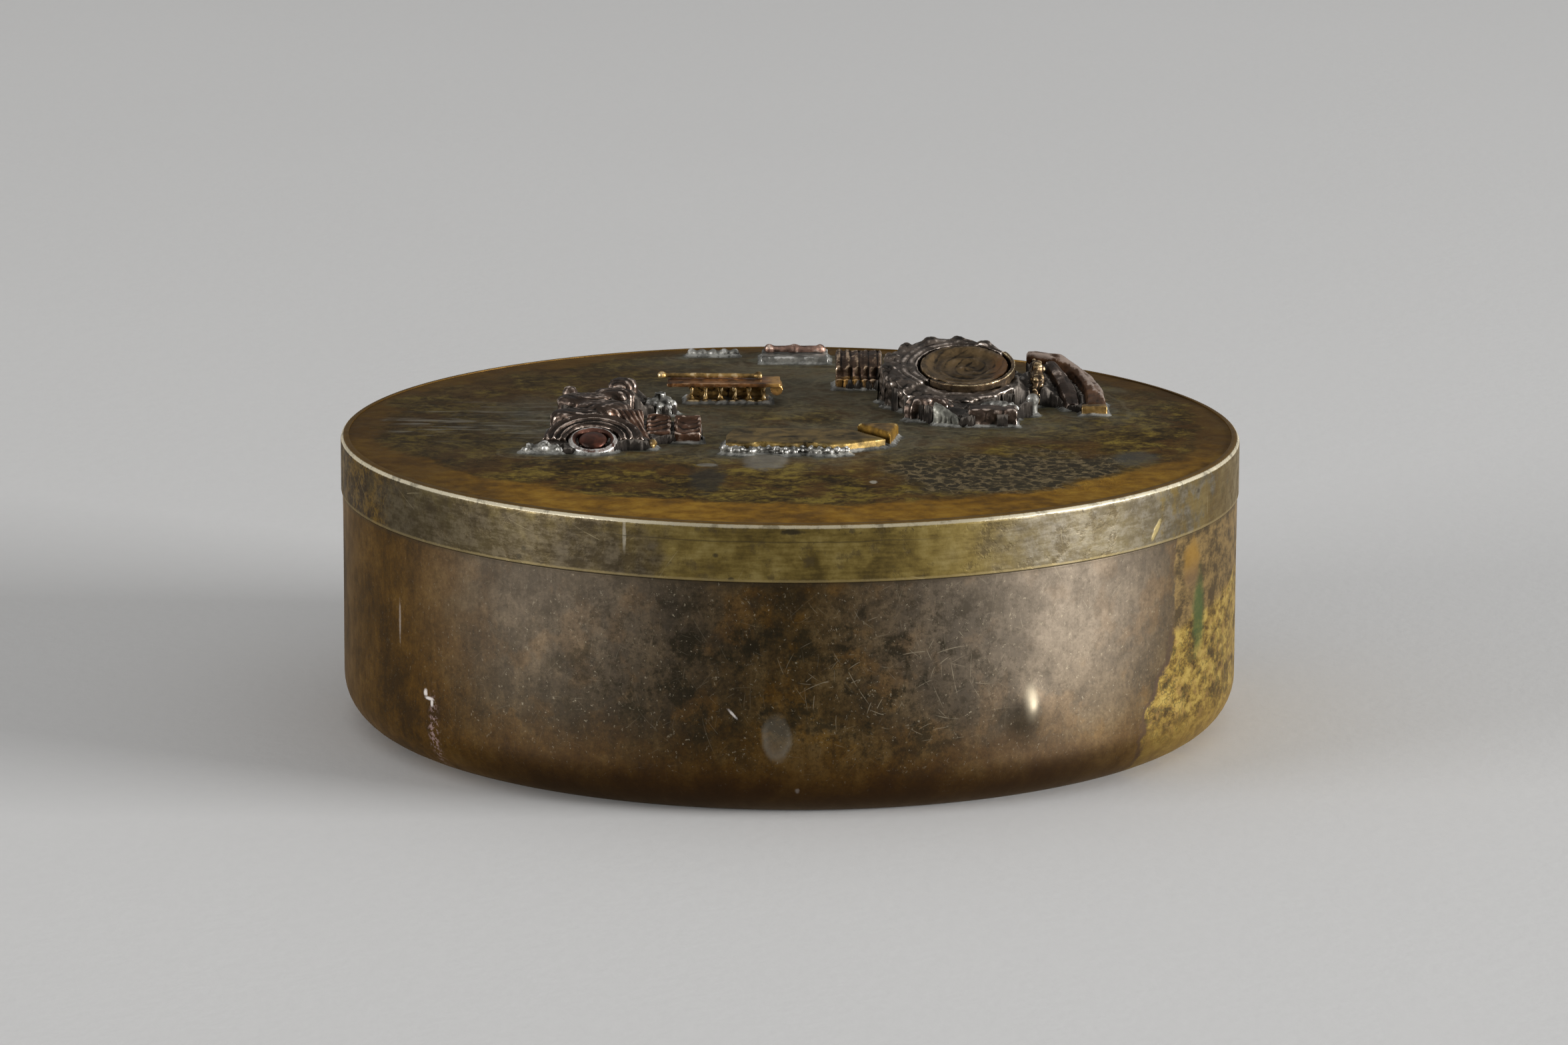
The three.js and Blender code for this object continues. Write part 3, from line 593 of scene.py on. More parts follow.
def body_marks(g, colour):
    """A white drip with a speckled run at the left, a grey smudge and small marks at the front."""
    dots = g.blots(0.55, 3, 0.55, 14, 0.5, 0.6)
    run = g.mark((-50.3, 5.2), (0.9, 4.4), 0.6, 0.4, 0.8) * dots
    smudge = g.mark((-1.6, 10.2), (1.7, 2.8), 0.2, 0.2, 1.4)
    middle = smudge * g.mark((-1.4, 11.0), (1.4, 2.4), 0.35, 0.2, 1.2)
    flick = g.spot(g.turn + (g.z - 13.2) * 0.9, g.z, (-6.9, 13.2), (0.2, 0.5), 0.6, 0.6, 0.4)
    pale = g.most(flick * 0.6, *[g.mark(*oval) * strength for *oval, strength in PALE_MARKS])
    colour = g.laid(
        colour,
        (run * 0.6, (360, 250, 240)),
        ((smudge - middle * 0.6) * 0.45, (190, 175, 145)),
        (pale, (620, 580, 550)),
    )
    return pale, colour


def front_stains(g):
    """How much dark stain covers the body: ragged blotches, most of them at the front, and painted shade
    under the knock.
    """
    blotch = g.blots(4.5, 8, 0.78, 4, 0.49, 0.6)
    grain = g.blots(0.9, 6, 0.8, 23, 0.5, 0.6)
    front = g.most(g.mark((-9, 18), (20, 11), 0.6), g.mark((12, 17), (15, 12), 0.6))
    # Painted shade on the lower left of the knock, where its flank turns away from the light
    knock = g.mark((KNOCK_ANGLE - 1.4, KNOCK_HEIGHT - 1.7), (1.6, 1.1), 0.8)
    return g.most(blotch * (front * 0.72 + 0.14), grain * (front * 0.26 + 0.24), knock * 0.5)


def front_specks(g):
    """How much pale wear covers the body: specks, fine scratches over the right of the front, and the
    knock's crest, worn and painted with a highlight.
    """
    speck = g.blots(0.5, 4, 0.75, 6, 0.61, 0.69)
    speck = speck * (g.mark((0, 17), (52, 16), 0.6) * 0.55 + 0.12)
    # The knock's crest: partly worn bright, partly a painted highlight
    crest = g.mark((KNOCK_ANGLE + 0.2, KNOCK_HEIGHT + 0.9), (0.8, 1.7), 0.8)
    marks = g.most(*[g.strokes(*scratch) for scratch in SCRATCHES])
    marks = marks * g.blots(3.5, 3, 0.6, 22, 0.42, 0.58)
    where = g.most(g.mark((13, 18), (14, 10), 0.5), g.mark((28, 26), (16, 5), 0.6) * 0.6,
                   g.mark((0, 14), (52, 14), 0.6) * 0.25)
    return g.most(speck, crest * 0.6, marks * where * 0.55)


def bare_patch(g, colour):
    """The bare brass at the right, with brown and green mottles, verdigris and an amber spot."""
    ragged = (g.noise(3.0, 4, 0.62, seed=8) - 0.5) * 5
    border = g.turn + ragged - g.between(g.z, 5, 19, 50.0, 56.5)
    drift = (g.noise(11, 5, 0.7, seed=21) - 0.5) * 90
    inside = g.between(border, -0.3, 0.3) * g.between(g.turn + drift, 121, 112)
    mottle = g.noise(2.3, 7, 0.78, stretch=(1.4, 1.4, 0.8), seed=9)
    brass = g.ramp(mottle, (0.4, (30, 18, 5)), (0.46, (90, 55, 12)),
                   (0.52, (165, 108, 22)), (0.6, (255, 182, 46)))
    brown = g.ramp(mottle, (0.43, (35, 24, 12)), (0.58, (130, 85, 34)))
    tan = g.blots(1.6, 5, 0.7, 20, 0.52, 0.62)
    vein = g.between(g.size_of(g.noise(4.0, 3, 0.6, warp=0.6, seed=18) - 0.5), 0.022, 0.006)
    level = g.most(g.turn - 58, 0.0) * 0.12 + 18
    brass = g.laid(
        brass,
        (tan * 0.5, (190, 115, 38)),
        (vein * 0.6, (45, 38, 12)),
        (g.between(g.z + ragged, 8, 3) * 0.6, (150, 90, 18)),
        (g.between(g.z + ragged - level, -1, 1) * 0.95, brown),
        (g.mark((63.2, 18.8), (1.6, 4.8), 0.5, 0.4, 1.5) * 0.8, (30, 55, 16)),
    )
    lip = g.between(g.size_of(border + 0.3), 0.8, 0.2) * g.between(g.z, 20, 17)
    amber = g.mark((61.0, 25.4), (2.2, 2.9), 0.4, 0.4, 1.2)
    tint = g.mix(g.between(g.z + ragged * 0.5, 23, 27), (100, 62, 32), (170, 92, 14))
    return g.laid(colour, (inside, brass), (lip * 0.6, (40, 24, 18)), (amber * 0.75, tint))


def band_material():
    """Dull yellow brass with brown mottles, greyer at the sides, with a few marks and a rim painted pale
    as a highlight.
    """
    g = Graph("band_brass")
    cloud = g.noise(7, 3, 0.55, warp=0.3)
    mottle = g.noise(2.2, 4, 0.62, seed=2)
    fine = g.noise(0.5, 4, 0.7, seed=3)
    brushed = g.noise(0.45, 3, 0.6, stretch=(7, 7, 1), seed=4)
    tone = cloud * 0.4 + mottle * 0.3 + fine * 0.1 + brushed * 0.2
    brass = g.ramp(tone, (0.41, (50, 34, 8)), (0.48, (98, 68, 16)),
                   (0.53, (140, 101, 27)), (0.61, (210, 160, 55)))
    scuffs = g.noise(2.0, 6, 0.72, stretch=(1.5, 1.5, 1), seed=17)
    streaks = g.between(brushed * 0.22 + scuffs * 0.58 + fine * 0.2, 0.43, 0.6)
    golden = g.between(fine * 0.5 + mottle * 0.5, 0.44, 0.58)
    turn = g.turn + (cloud - 0.5) * 20
    left = g.between(g.turn + (cloud - 0.5) * 60, -8, -30)
    left = left * g.between(g.z + (mottle - 0.5) * 12, 38, 34, 0.8, 1.0)
    far_left = g.between(turn, -56, -66)
    far_right = g.between(g.turn + (mottle - 0.5) * 60, 54, 68)
    right = g.between(turn, 18, 32) * (1.0 - far_right)
    stains = g.blots(2.6, 5, 0.66, 5, 0.54, 0.66)
    spots = g.between(g.cells(2.6, stretch=(1, 1, 0.8)), 0.1, 0.2, 1.0, 0.0)
    spots = spots * g.blots(7, 2, 0.55, 7, 0.5, 0.6)
    pits = g.blots(0.7, 4, 0.7, 19, 0.6, 0.66) * g.between(g.z, BAND_TOP - 1.6, BAND_TOP - 0.9)
    dark = g.mark((0.2, 35.9), (1.4, 0.35), 0.4, 0.5, 0.6)
    tick = g.spot(g.turn - (g.z - 31.5) * 0.7, g.z, (51.8, 31.5), (0.5, 1.15), 0.4, 0.4, 0.6)
    nick = g.mark((-20.4, 34.6), (0.22, 1.7), 0.5, 0.3, 0.6)
    marks = g.strokes(5.0, 0.07, 11) * g.blots(9, 2, 0.55, 8, 0.45, 0.6)
    groove = g.between(g.size_of(g.z - 34.6 + (cloud - 0.5) * 0.6), 0.12, 0.03)
    groove = groove * g.between(g.turn, -35, -20) * g.between(g.turn, 25, 10)
    colour = g.laid(
        brass,
        (left * 0.85, g.mix(streaks, (20, 14, 7), (70, 56, 37))),
        (far_left * 0.9, g.mix(golden, (18, 8, 1), (115, 64, 6))),
        (far_right * 0.5, (45, 22, 6)),
        (right * 0.8, g.mix(streaks, (48, 39, 24), (96, 86, 70))),
        (stains * 0.65, (45, 32, 13)),
        (spots * 0.8, (28, 22, 12)),
        (pits * 0.8, (22, 17, 10)),
        (dark * 0.9, (18, 14, 8)),
        (tick * 0.6, (270, 210, 80)),
        (nick * 0.42, (340, 310, 250)),
        (marks * 0.4, (360, 300, 180)),
        (groove * 0.55, (30, 22, 10)),
    )
    rim, colour = band_rim(g, fine, mottle, colour)
    rough = g.between(tone, 0.42, 0.6, 0.48, 0.38) + stains * 0.1 - rim * 0.18 + far_left * 0.08
    height = [cloud * 0.03, mottle * 0.015, fine * 0.012, brushed * 0.008, stains * -0.015, tick * 0.03]
    return g.done(colour, rough, height, 0.7, specular=0.35, tint=(1000, 920, 800))


def band_rim(g, fine, mottle, colour):
    """The rim with a painted highlight, brightest at its sides, the patina inside it and the paler lower
    lip.
    """
    low, high = node_box("lid_band")
    reach = g.hypot(g.x, g.y)
    outer = g.between(reach, high[0] - 0.42, high[0] - 0.28)
    rim = g.between(g.z + (fine - 0.5) * 0.15, BAND_TOP - 0.6, BAND_TOP - 0.46) * outer
    # Painted highlight: the rim's round is paler where the side lights are reflected in it
    bright = g.between(g.size_of(g.turn - 4), 14, 30, 0.45, 0.95) * g.between(mottle, 0.36, 0.48, 0.5, 1.0)
    inside = g.between(reach + (fine - 0.5) * 0.2, high[0] - 0.28, high[0] - 0.42)
    inside = inside * g.between(g.z, BAND_TOP - 0.5, BAND_TOP - 0.3)
    lip = g.between(g.z + (fine - 0.5) * 0.4, low[2] + 0.45, low[2] + 0.25)
    return rim, g.laid(
        colour,
        (rim * bright, (920, 820, 600)),
        (inside * 0.9, g.mix(mottle, (75, 38, 10), (210, 115, 22))),
        (lip * 0.4, (260, 200, 90)),
    )


# Lid and collar

def lid_material():
    """Olive-brown mottles, an orange-brown margin, and a grey film left by the flux round the mounts."""
    g = Graph("lid_patina")
    reach = g.hypot(g.x, g.y)
    near = g.stored("near_solder")
    cloud = g.noise(9, warp=0.6)
    mottle = g.noise(3.4, 5, 0.68, warp=0.8, seed=1)
    fine = g.noise(0.8, 4, 0.7, seed=2)
    tone = cloud * 0.26 + mottle * 0.48 + fine * 0.26
    olive = g.ramp(tone, (0.42, (18, 11, 4)), (0.48, (60, 36, 9)),
                   (0.52, (125, 80, 13)), (0.59, (290, 205, 30)))
    ochre = g.blots(2.6, 4, 0.62, 5, 0.54, 0.66) * g.between(reach, 18, 36)
    brown = g.blots(7, 4, 0.6, 6, 0.46, 0.58)
    sides = g.most(g.between(g.x, -22, -44) * g.between(g.y, -34, -20), g.between(g.y, 8, 34))
    veins = g.between(g.size_of(g.noise(5, warp=0.6, seed=15) - 0.5), 0.016, 0.004)
    # The film: close round the mounts, and thinner over the middle and the back
    spread = (g.noise(4, 4, 0.62, seed=16) - 0.5) * 6
    film = g.between(near + spread, 3.0, 0.4)
    wide = g.patch((0, 15), (44, 33), 0.4, 0.4, 6) * g.between(near + spread * 2, 16, 3)
    film = g.most(film * 0.9, wide * 0.72) * g.between(mottle, 0.38, 0.58, 0.5, 1.0)
    edge = g.between(g.size_of(near + spread * 0.5 - 2.8), 0.4, 0.1)
    # White hatching at the left: scratches, pale as wear and also as a painted reflection
    hatch = g.noise(0.9, 3, 0.6, stretch=(9, 1.2, 1), seed=7)
    hatch = g.between(hatch, 0.53, 0.62) * g.patch((-40, 5), (13, 11), 0.4, 0.4, 3)
    # A crackled dark patch at the right, and two dark smears
    bent = g.shifted(g.place, g.scaled(g.noise(1.2, 3, 0.7, seed=24) - 0.5, (2.4, -1.8, 0.0)))
    crackle = g.between(g.cells(1.3, "DISTANCE_TO_EDGE", bent, (1, 1.8, 1)), 0.03, 0.2, 1.0, 0.0)
    crackle = crackle * g.blots(1.8, 6, 0.8, 25, 0.42, 0.56)
    scales = g.mix(fine, (8, 8, 7), (50, 44, 30))
    scales = g.mix(crackle * 0.9, scales, (250, 190, 100))
    patch = g.patch((28, -26.5), (16, 13), 0.25, 0.6, 5)
    teal = g.patch((43.5, -17), (3.0, 4.5), 0.3, 0.4, 2.0)
    smear = g.patch((-10.3, -31.0), (2.2, 8.5), 0.3, 0.6, 1.8)
    colour = g.laid(
        olive,
        (ochre * 0.6, (290, 205, 28)),
        (brown * 0.6, (105, 46, 10)),
        (sides * 0.5, (50, 38, 24)),
        (veins * 0.55, (16, 12, 6)),
        (film, g.mix(fine, (62, 64, 48), (215, 214, 162))),
        (edge * 0.3, (220, 190, 120)),
        (hatch * 0.55, (320, 300, 250)),
        (patch * 0.95, scales),
        (teal * 0.7, (75, 80, 75)),
        (smear * 0.85, g.mix(fine, (6, 6, 6), (55, 53, 42))),
    )
    pale = g.patch((10.3, -32.0), (0.45, 0.9), 0.3, 0.3, 0.5)
    grey = g.mix(g.noise(1.5, 4, 0.7, seed=26), (120, 110, 90), (360, 340, 290))
    colour = g.laid(
        lid_margin(g, reach, colour),
        (pale * 0.8, (500, 470, 400)),
        *[(g.patch(place, half, 0.2, 0.2, 1.5) * 0.75, grey) for place, half, _ in BLOBS],
    )
    rough = g.between(tone, 0.42, 0.6, 0.56, 0.44) + film * 0.05
    height = [cloud * 0.05, mottle * 0.07, fine * 0.03, patch * crackle * 0.1, hatch * 0.03]
    return g.done(colour, rough, height, 0.5, specular=0.2, tint=(700, 580, 420))


def lid_margin(g, reach, colour):
    """The smooth orange-brown margin inside the rim, its inner edge soft and wandering."""
    border = reach + g.between(g.y, 0, -50, 0.0, 7.0) + (g.noise(13, seed=9) - 0.5) * 12
    margin = g.between(border + (g.noise(1.6, 4, 0.7, seed=27) - 0.5) * 6, 51.0, 54.5)
    grain = g.noise(2.4, seed=10)
    warm = g.ramp(grain * 0.5 + g.noise(12, 3, 0.6, seed=11) * 0.5, (0.4, (150, 72, 9)),
                  (0.5, (280, 140, 14)), (0.6, (400, 220, 26)))
    dull = g.most(g.between(g.y, -32, 0) * 0.8, g.between(g.x, -28, -48) * 0.7)
    line = g.between(border, 51.0, 52.2) * g.between(border, 53.4, 52.6) * g.between(grain, 0.42, 0.56)
    return g.laid(
        colour,
        (margin * 0.95, g.mix(dull, warm, (55, 30, 13))),
        (line * 0.5, (30, 20, 7)),
    )


def collar_material():
    """Plain turned brass, dull, with a few brown stains."""
    g = Graph("collar_brass")
    cloud = g.noise(8)
    rings = g.noise(0.25, 3, 0.6, stretch=(60, 60, 1))
    rub = g.noise(0.8, 3, 0.6, stretch=(1, 1, 8), seed=3)
    fine = g.noise(0.5, 3, 0.7, seed=4)
    tone = cloud * 0.45 + rings * 0.25 + rub * 0.3
    brass = g.ramp(tone, (0.36, (120, 85, 35)), (0.5, (260, 195, 85)),
                   (0.66, (460, 370, 180)))
    stain = g.blots(3, 4, 0.65, 6, 0.56, 0.68)
    colour = g.mix(stain * 0.6, brass, (70, 50, 25))
    rough = g.between(tone, 0.35, 0.65, 0.46, 0.28) + stain * 0.1
    return g.done(colour, rough, [rings * 0.01, rub * 0.01, fine * 0.012, stain * 0.02], 0.9)


# Mounts and floor

def mount_material(name, skin, worn, rough, dirt_and_shade=BLACK, spot=None):
    """Aged metal: worn bright and painted with highlights on crests, its own skin on the flats, grime and
    painted shade in the hollows.

    One spot may have a colour of its own, given as (x, z), (half x, half z) and the colour."""
    g = Graph(name)
    crest = g.stored("crest")
    cloud = g.noise(2.4, warp=0.4)
    fine = g.noise(0.5, 4, 0.7, seed=2)
    lively = (fine - 0.5) * 0.8 + (cloud - 0.5) * 1.1
    edges = g.between(g.curvature(), 0.5, 0.56)
    corners = g.between(g.curvature(), 0.44, 0.5, 1.0, 0.0)
    # Crests and outer edges take the worn colour, which also serves as a painted highlight
    ridge_wear_and_highlight = g.between(crest * 0.75 + edges * 0.65 + lively, 0.74, 1.22)
    # Hollows and inner corners take the dark colour: grime, and painted shade
    hollow_dirt_and_shade = g.between(corners * 0.6 + (0.5 - crest) * 0.8 + lively * -0.6, 0.05, 0.65)
    flats = g.mix(g.between(cloud, 0.38, 0.62), shade(skin, 0.6), shade(skin, 1.3))
    colour = g.mix(ridge_wear_and_highlight, flats, worn)
    if spot:
        place, half, own = spot
        colour = g.mix(g.spot(g.x, g.z, place, half, 0.4, 0.4, 0.9) * 0.85, colour, own)
    colour = g.mix(hollow_dirt_and_shade * 0.9, colour, dirt_and_shade)
    sheen = g.between(ridge_wear_and_highlight, 0, 1, rough, rough * 0.7) + hollow_dirt_and_shade * 0.12 + (fine - 0.5) * 0.12
    return g.done(colour, sheen, [fine * 0.03, cloud * 0.03], 0.8)


def shade(colour, factor):
    return tuple(part * factor for part in colour)


def floor_material():
    g = Graph("floor")
    cloud = g.noise(220, 3, 0.5)
    grain = g.noise(1.5, 3, 0.6, seed=2)
    colour = g.mix(cloud * 0.6 + grain * 0.4, (700, 695, 685), (760, 755, 745))
    return g.done(colour, g.between(grain, 0.3, 0.7, 0.75, 0.85), [grain * 0.02], 0.0, specular=0.25)


# Metals of the mounts: the skin, the colour where worn and painted highlight, the roughness and, for some,
# the grime and painted shade of the hollows and a spot
METALS = {
    "boss_copper": ((85, 30, 18), (150, 60, 38), 0.34),
    "mount_copper": ((115, 58, 34), (660, 500, 400), 0.42),
    "shelf_copper": ((240, 105, 36), (500, 300, 160), 0.42, BLACK,
                     ((-1.2, 39.0), (1.6, 1.3), ORANGE_GILT)),
    "ring_silver": ((105, 45, 30), (620, 600, 560), 0.5),
    "dark_copper": ((68, 46, 34), (620, 500, 420), 0.42),
    "fluted_copper": ((85, 52, 34), (600, 430, 280), 0.42, BLACK,
                      ((7.8, 37.6), (2.0, 0.6), ORANGE_GILT)),
    "scroll_gilt": ((95, 60, 30), (660, 490, 270), 0.42),
    "wing_copper": ((150, 72, 34), (580, 450, 370), 0.42),
    "bowl_copper": ((120, 78, 36), (280, 200, 125), 0.42, BLACK,
                    ((28.3, 41.0), (1.9, 1.7), (175, 80, 26))),
    "mane_copper": ((92, 72, 57), (580, 490, 420), 0.44),
    "gilt": ((300, 185, 60), (800, 600, 330), 0.4, (40, 22, 8)),
    "edge_gilt": ((110, 70, 36), (900, 740, 450), 0.4),
    "corner_gilt": ((300, 165, 26), (950, 720, 280), 0.4, (80, 45, 10)),
    "bar_copper": ((300, 180, 135), (700, 560, 470), 0.46),
    "silver": ((190, 184, 164), (600, 585, 550), 0.62, (50, 46, 38)),
    "leaf_silver": ((130, 128, 108), (300, 290, 250), 0.6),
    "plaque_brass": ((170, 112, 32), (210, 155, 62), 0.52),
    "solder": ((330, 325, 295), (840, 830, 780), 0.52, (60, 57, 45)),
    # The filling between pieces: its dark colour is partly painted shade in the recesses
    "fill": ((44, 36, 29), (220, 190, 160), 0.55),
}
MATERIALS = {name: mount_material(name, *metal) for name, metal in METALS.items()}


# Box and lid

def pushed_out(points, shift):
    """Points moved away from the axis."""
    outward = points[:, :2] / np.maximum(reach_of(points), 1e-6)[:, None]
    points[:, :2] += outward * shift[:, None]
    return points


def body_relief(points):
    """Slow unevenness of the spun wall, and the knock pushed out from inside."""
    radius = reach_of(points)
    turn = np.degrees(np.arctan2(points[:, 0], -points[:, 1]))
    arc = np.radians(turn - KNOCK_ANGLE) * radius
    gap = np.hypot(arc / KNOCK_REACH, (points[:, 2] - KNOCK_HEIGHT) / (1.15 * KNOCK_REACH))
    wall = ease(radius, 30, 52)
    rise = 0.07 * waver(points, 23, 1) + 0.035 * waver(points, 9, 2) - 0.02
    rise = np.minimum(rise, 0.12) * ease(points[:, 2], 0.5, 4)
    rise *= ease(points[:, 2], BODY_TOP - 0.2, BODY_TOP - 3.6)
    return pushed_out(points, wall * (rise + KNOCK_RISE * np.exp(-gap ** 1.6)))


def make_body():
    radius = BODY_RADIUS - CLEAR
    inner = radius - BODY_WALL
    corners = [
        (0, 0, 0, 5.0),
        (radius, 0, BASE_CORNER, 0.5),
        (radius, BODY_TOP, EDGE_EASE, 0.5),
        (inner, BODY_TOP, EDGE_EASE, 2.0),
        (inner, BASE_THICKNESS, BASE_CORNER - BODY_WALL, 5.0),
        (0, BASE_THICKNESS, 0, 5.0),
    ]
    points, faces = revolved(profile_points(corners, False), ROUND_STEPS, False, body_relief)
    piece("shell", points, faces, "box", SLOTS["body_shell"], body_material(), ["body_shell"])


def make_ring(name, node, inner, eases, body, material, steps):
    """A closed ring with eased corners: lower outer, upper outer, upper inner and lower inner."""
    low, high = node_box(node)
    outer = high[0] - CLEAR
    corners = [
        (outer, low[2], eases[0], 0.5),
        (outer, high[2], eases[1], 0.4),
        (inner, high[2], eases[2], 0.8),
        (inner, low[2], eases[3], 0.4),
    ]
    points, faces = revolved(profile_points(corners, True), steps, True, ring_relief)
    piece(name, points, faces, body, SLOTS[node], material, [node])


def ring_relief(points):
    return pushed_out(points, 0.012 * waver(points, 12, 5) - 0.012)


def disc_relief(points):
    """A hammered flatness: the top wavers, and a few blobs of solder stand on it."""
    top = points[:, 2] > points[:, 2].max() - 0.3
    shift = 0.035 * waver(points, 11, 7) + 0.02 * waver(points, 4, 8) - 0.03
    for place, half, rise in BLOBS:
        reach = np.hypot((points[:, 0] - place[0]) / half[0], (points[:, 1] - place[1]) / half[1])
        shift += rise * ease(1.15 - reach, 0, 0.5)
    points[:, 2] += np.where(top, shift, 0)
    return points


def make_lid(feet):
    """The band and the disc, which knows how near each of its points is to the mounts' feet."""
    low, high = node_box("lid_disc")
    bore = high[0] + 0.25 * CLEAR
    eases = (0.12, BAND_ROUND, THIN_EASE, 0.3)
    make_ring("band", "lid_band", bore, eases, "lid", band_material(), ROUND_STEPS)
    corners = [
        (0, low[2], 0, 5.0),
        (high[0], low[2], THIN_EASE, 1.0),
        (high[0], high[2], THIN_EASE, 0.5),
        (0, high[2], 0, 5.0),
    ]
    points, faces = revolved(profile_points(corners, False), LID_STEPS, False, disc_relief)
    near = distances(points, feet)
    piece("disc", points, faces, "lid", SLOTS["lid_disc"], lid_material(), ["lid_disc"], near_solder=near)


def make_collar():
    inner = node_box("neck_collar")[1][0] - COLLAR_WALL
    eases = (0.1, 0.4, 0.1, 0.1)
    make_ring("collar", "neck_collar", inner, eases, "box", collar_material(), LID_STEPS)


# Mounts

def leaned_plane(points, place, tilt, lift, offset=(0, 0)):
    """Points in the plane of a leaned mount, from its middle."""
    local = points - np.array([place[0], place[1], DISC_TOP + lift])
    lean = math.radians(tilt)
    along = local[:, 1] * math.cos(lean) + local[:, 2] * math.sin(lean)
    above = local[:, 2] * math.cos(lean) - local[:, 1] * math.sin(lean)
    return np.stack([local[:, 0] - offset[0], along - offset[1], above], axis=1)


def on_volute(points):
    return leaned_plane(points, VOLUTE_PLACE, VOLUTE_TILT, VOLUTE_LIFT)


def on_dish(points):
    return leaned_plane(points, DISH_PLACE, DISH_TILT, DISH_LIFT, BOWL_OFFSET)


def fading(points, size, seed):
    """How strong the relief is from place to place, so that parts of it are worn flat."""
    return 0.4 + 0.6 * ease(waver(points, size, seed), -0.6, 0.4)


def ridges(distance, pitch, depth):
    """Rounded ridges at even steps of a distance, sunk below the mesh by up to a depth."""
    return depth * (np.abs(np.sin(math.pi * distance / pitch)) - 1)


def ribbed(points, distance, pitch, depth, wear, seed, rough):
    """Ridges that are worn flat in patches of one size, with a rough skin."""
    return ridges(distance, pitch, depth) * fading(points, wear, seed) + rough_relief(points, rough)


def knobbed(points, size, depth, wear, seed, rough, spread=0.35):
    """Knobs of about one size that are worn flat in patches, with a rough skin."""
    lumps = depth * (knobs(points, size, seed, spread) - 1)
    return lumps * fading(points, wear, seed + 1) + rough_relief(points, rough)


def rough_relief(points, depth=0.05):
    return depth * (waver(points, 0.9, 11) + 0.5 * waver(points, 0.4, 12)) - depth


def plate_relief(points):
    return 0.05 * waver(points, 2.6, 8) + 0.03 * waver(points, 0.8, 9) - 0.07


def boss_relief(points):
    return 0.03 * waver(points, 1.4, 4) - 0.03


def hood_relief(points):
    """Rings about the volute's middle."""
    plane = on_volute(points)
    radius = reach_of(plane) + 0.2 * waver(points, 2.2, 3)
    return ribbed(points, radius, 0.75, 0.2, 2.5, 4, 0.03)


def fan_relief(points):
    along = points[:, 0] * 0.9 + points[:, 1] * 0.45 + 0.1 * waver(points, 1.5, 14)
    return ribbed(points, along, 0.6, 0.12, 2.0, 15, 0.03)


def leaf_relief(points):
    """Veins that bend over each tier of the leaf."""
    wave = points[:, 1] + 0.7 * np.sin(points[:, 0] * 0.9) + 0.6 * waver(points, 2.0, 6)
    return ribbed(points, wave, 1.1, 0.18, 2.0, 7, 0.06)


def strand_relief(points):
    return ribbed(points, points[:, 0] + 0.3 * waver(points, 1.3, 7), 0.8, 0.13, 1.6, 8, 0.05)


def flute_relief(points):
    return ribbed(points, points[:, 0] + 0.15 * waver(points, 1.6, 28), 1.15, 0.3, 1.6, 29, 0.05)


def sweep_relief(points):
    """Ridges that run along the wing and the swept leaf, about one far middle."""
    middle = np.array(DISH_PLACE) + SWEEP_OFFSET
    radius = reach_of(points[:, :2] - middle) + 0.3 * waver(points, 3.5, 26)
    return ribbed(points, radius, 1.7, 0.2, 4.0, 27, 0.05)


def scale_relief(points):
    return knobbed(points, 0.9, 0.28, 1.6, 31, 0.03)


def lace_relief(points):
    return knobbed(points, 0.6, 0.26, 1.2, 33, 0.07, 0.5)


def knob_relief(points):
    return knobbed(points, 1.3, 0.32, 1.8, 35, 0.05)


def bowl_relief(points):
    """Faint rings off the middle, mostly worn away."""
    plane = on_dish(points)
    radius = np.hypot(plane[:, 0] - 1.2, (plane[:, 1] - 1.4) * 1.2) + 0.6 * waver(points, 3.6, 5)
    return ribbed(points, radius, 1.3, 0.10, 3.2, 6, 0.04)


def mane_relief(points):
    """Rings that carry on from the bowl's, and small curls outside them."""
    plane = on_dish(points)
    radius = reach_of(plane) + 0.5 * waver(points, 2.8, 24)
    rings = ridges(radius, 0.9, 0.2) * fading(points, 2.6, 25)
    curls = 0.34 * (knobs(points, 1.15, 21) - 1) * fading(points, 2.0, 22)
    outside = ease(radius, 7.8, 9.0)
    worn = -CURL_WEAR * ease(plane[:, 2], 0.1, 1.0)
    return (1 - outside) * rings + outside * curls + worn + rough_relief(points, 0.05)


def crescent_edge(points):
    """1 on the bright upper edge of the crescent's middle, 0 on its wall and at its ends."""
    plane = on_dish(points)
    turn = np.degrees(np.arctan2(plane[:, 1], plane[:, 0]))
    top = ease(plane[:, 2] - plane[:, 2].max(), -0.35, -0.1)
    return top * ease(turn, -130, -100) * (0.75 + 0.25 * waver(points, 1.5, 9))


def ring_edge(points):
    """High on the bright outer rim of the volute's ring, low on the dark inside."""
    rim = ease(reach_of(on_volute(points)), 2.45, 2.75)
    return 0.4 + (0.85 + 0.2 * waver(points, 1.2, 10)) * rim


def wing_edge(points):
    """High along the wing's top edge from end to end, which is worn pale and also painted as a highlight,
    with its ridges below.
    """
    column = np.round((points[:, 0] - points[:, 0].min()) / 0.5).astype(int)
    top = np.zeros(column.max() + 1)
    np.maximum.at(top, column, points[:, 2])
    worn = ease(points[:, 2] - top[column], -1.3, -0.3)
    return 0.5 + 2 * sweep_relief(points) + (1.15 + 0.3 * waver(points, 1.4, 41)) * worn


# Mounts whose wear and painted highlight follow one edge and not the relief
CRESTS = {"dish_crescent": crescent_edge, "volute_ring": ring_edge, "wing": wing_edge}

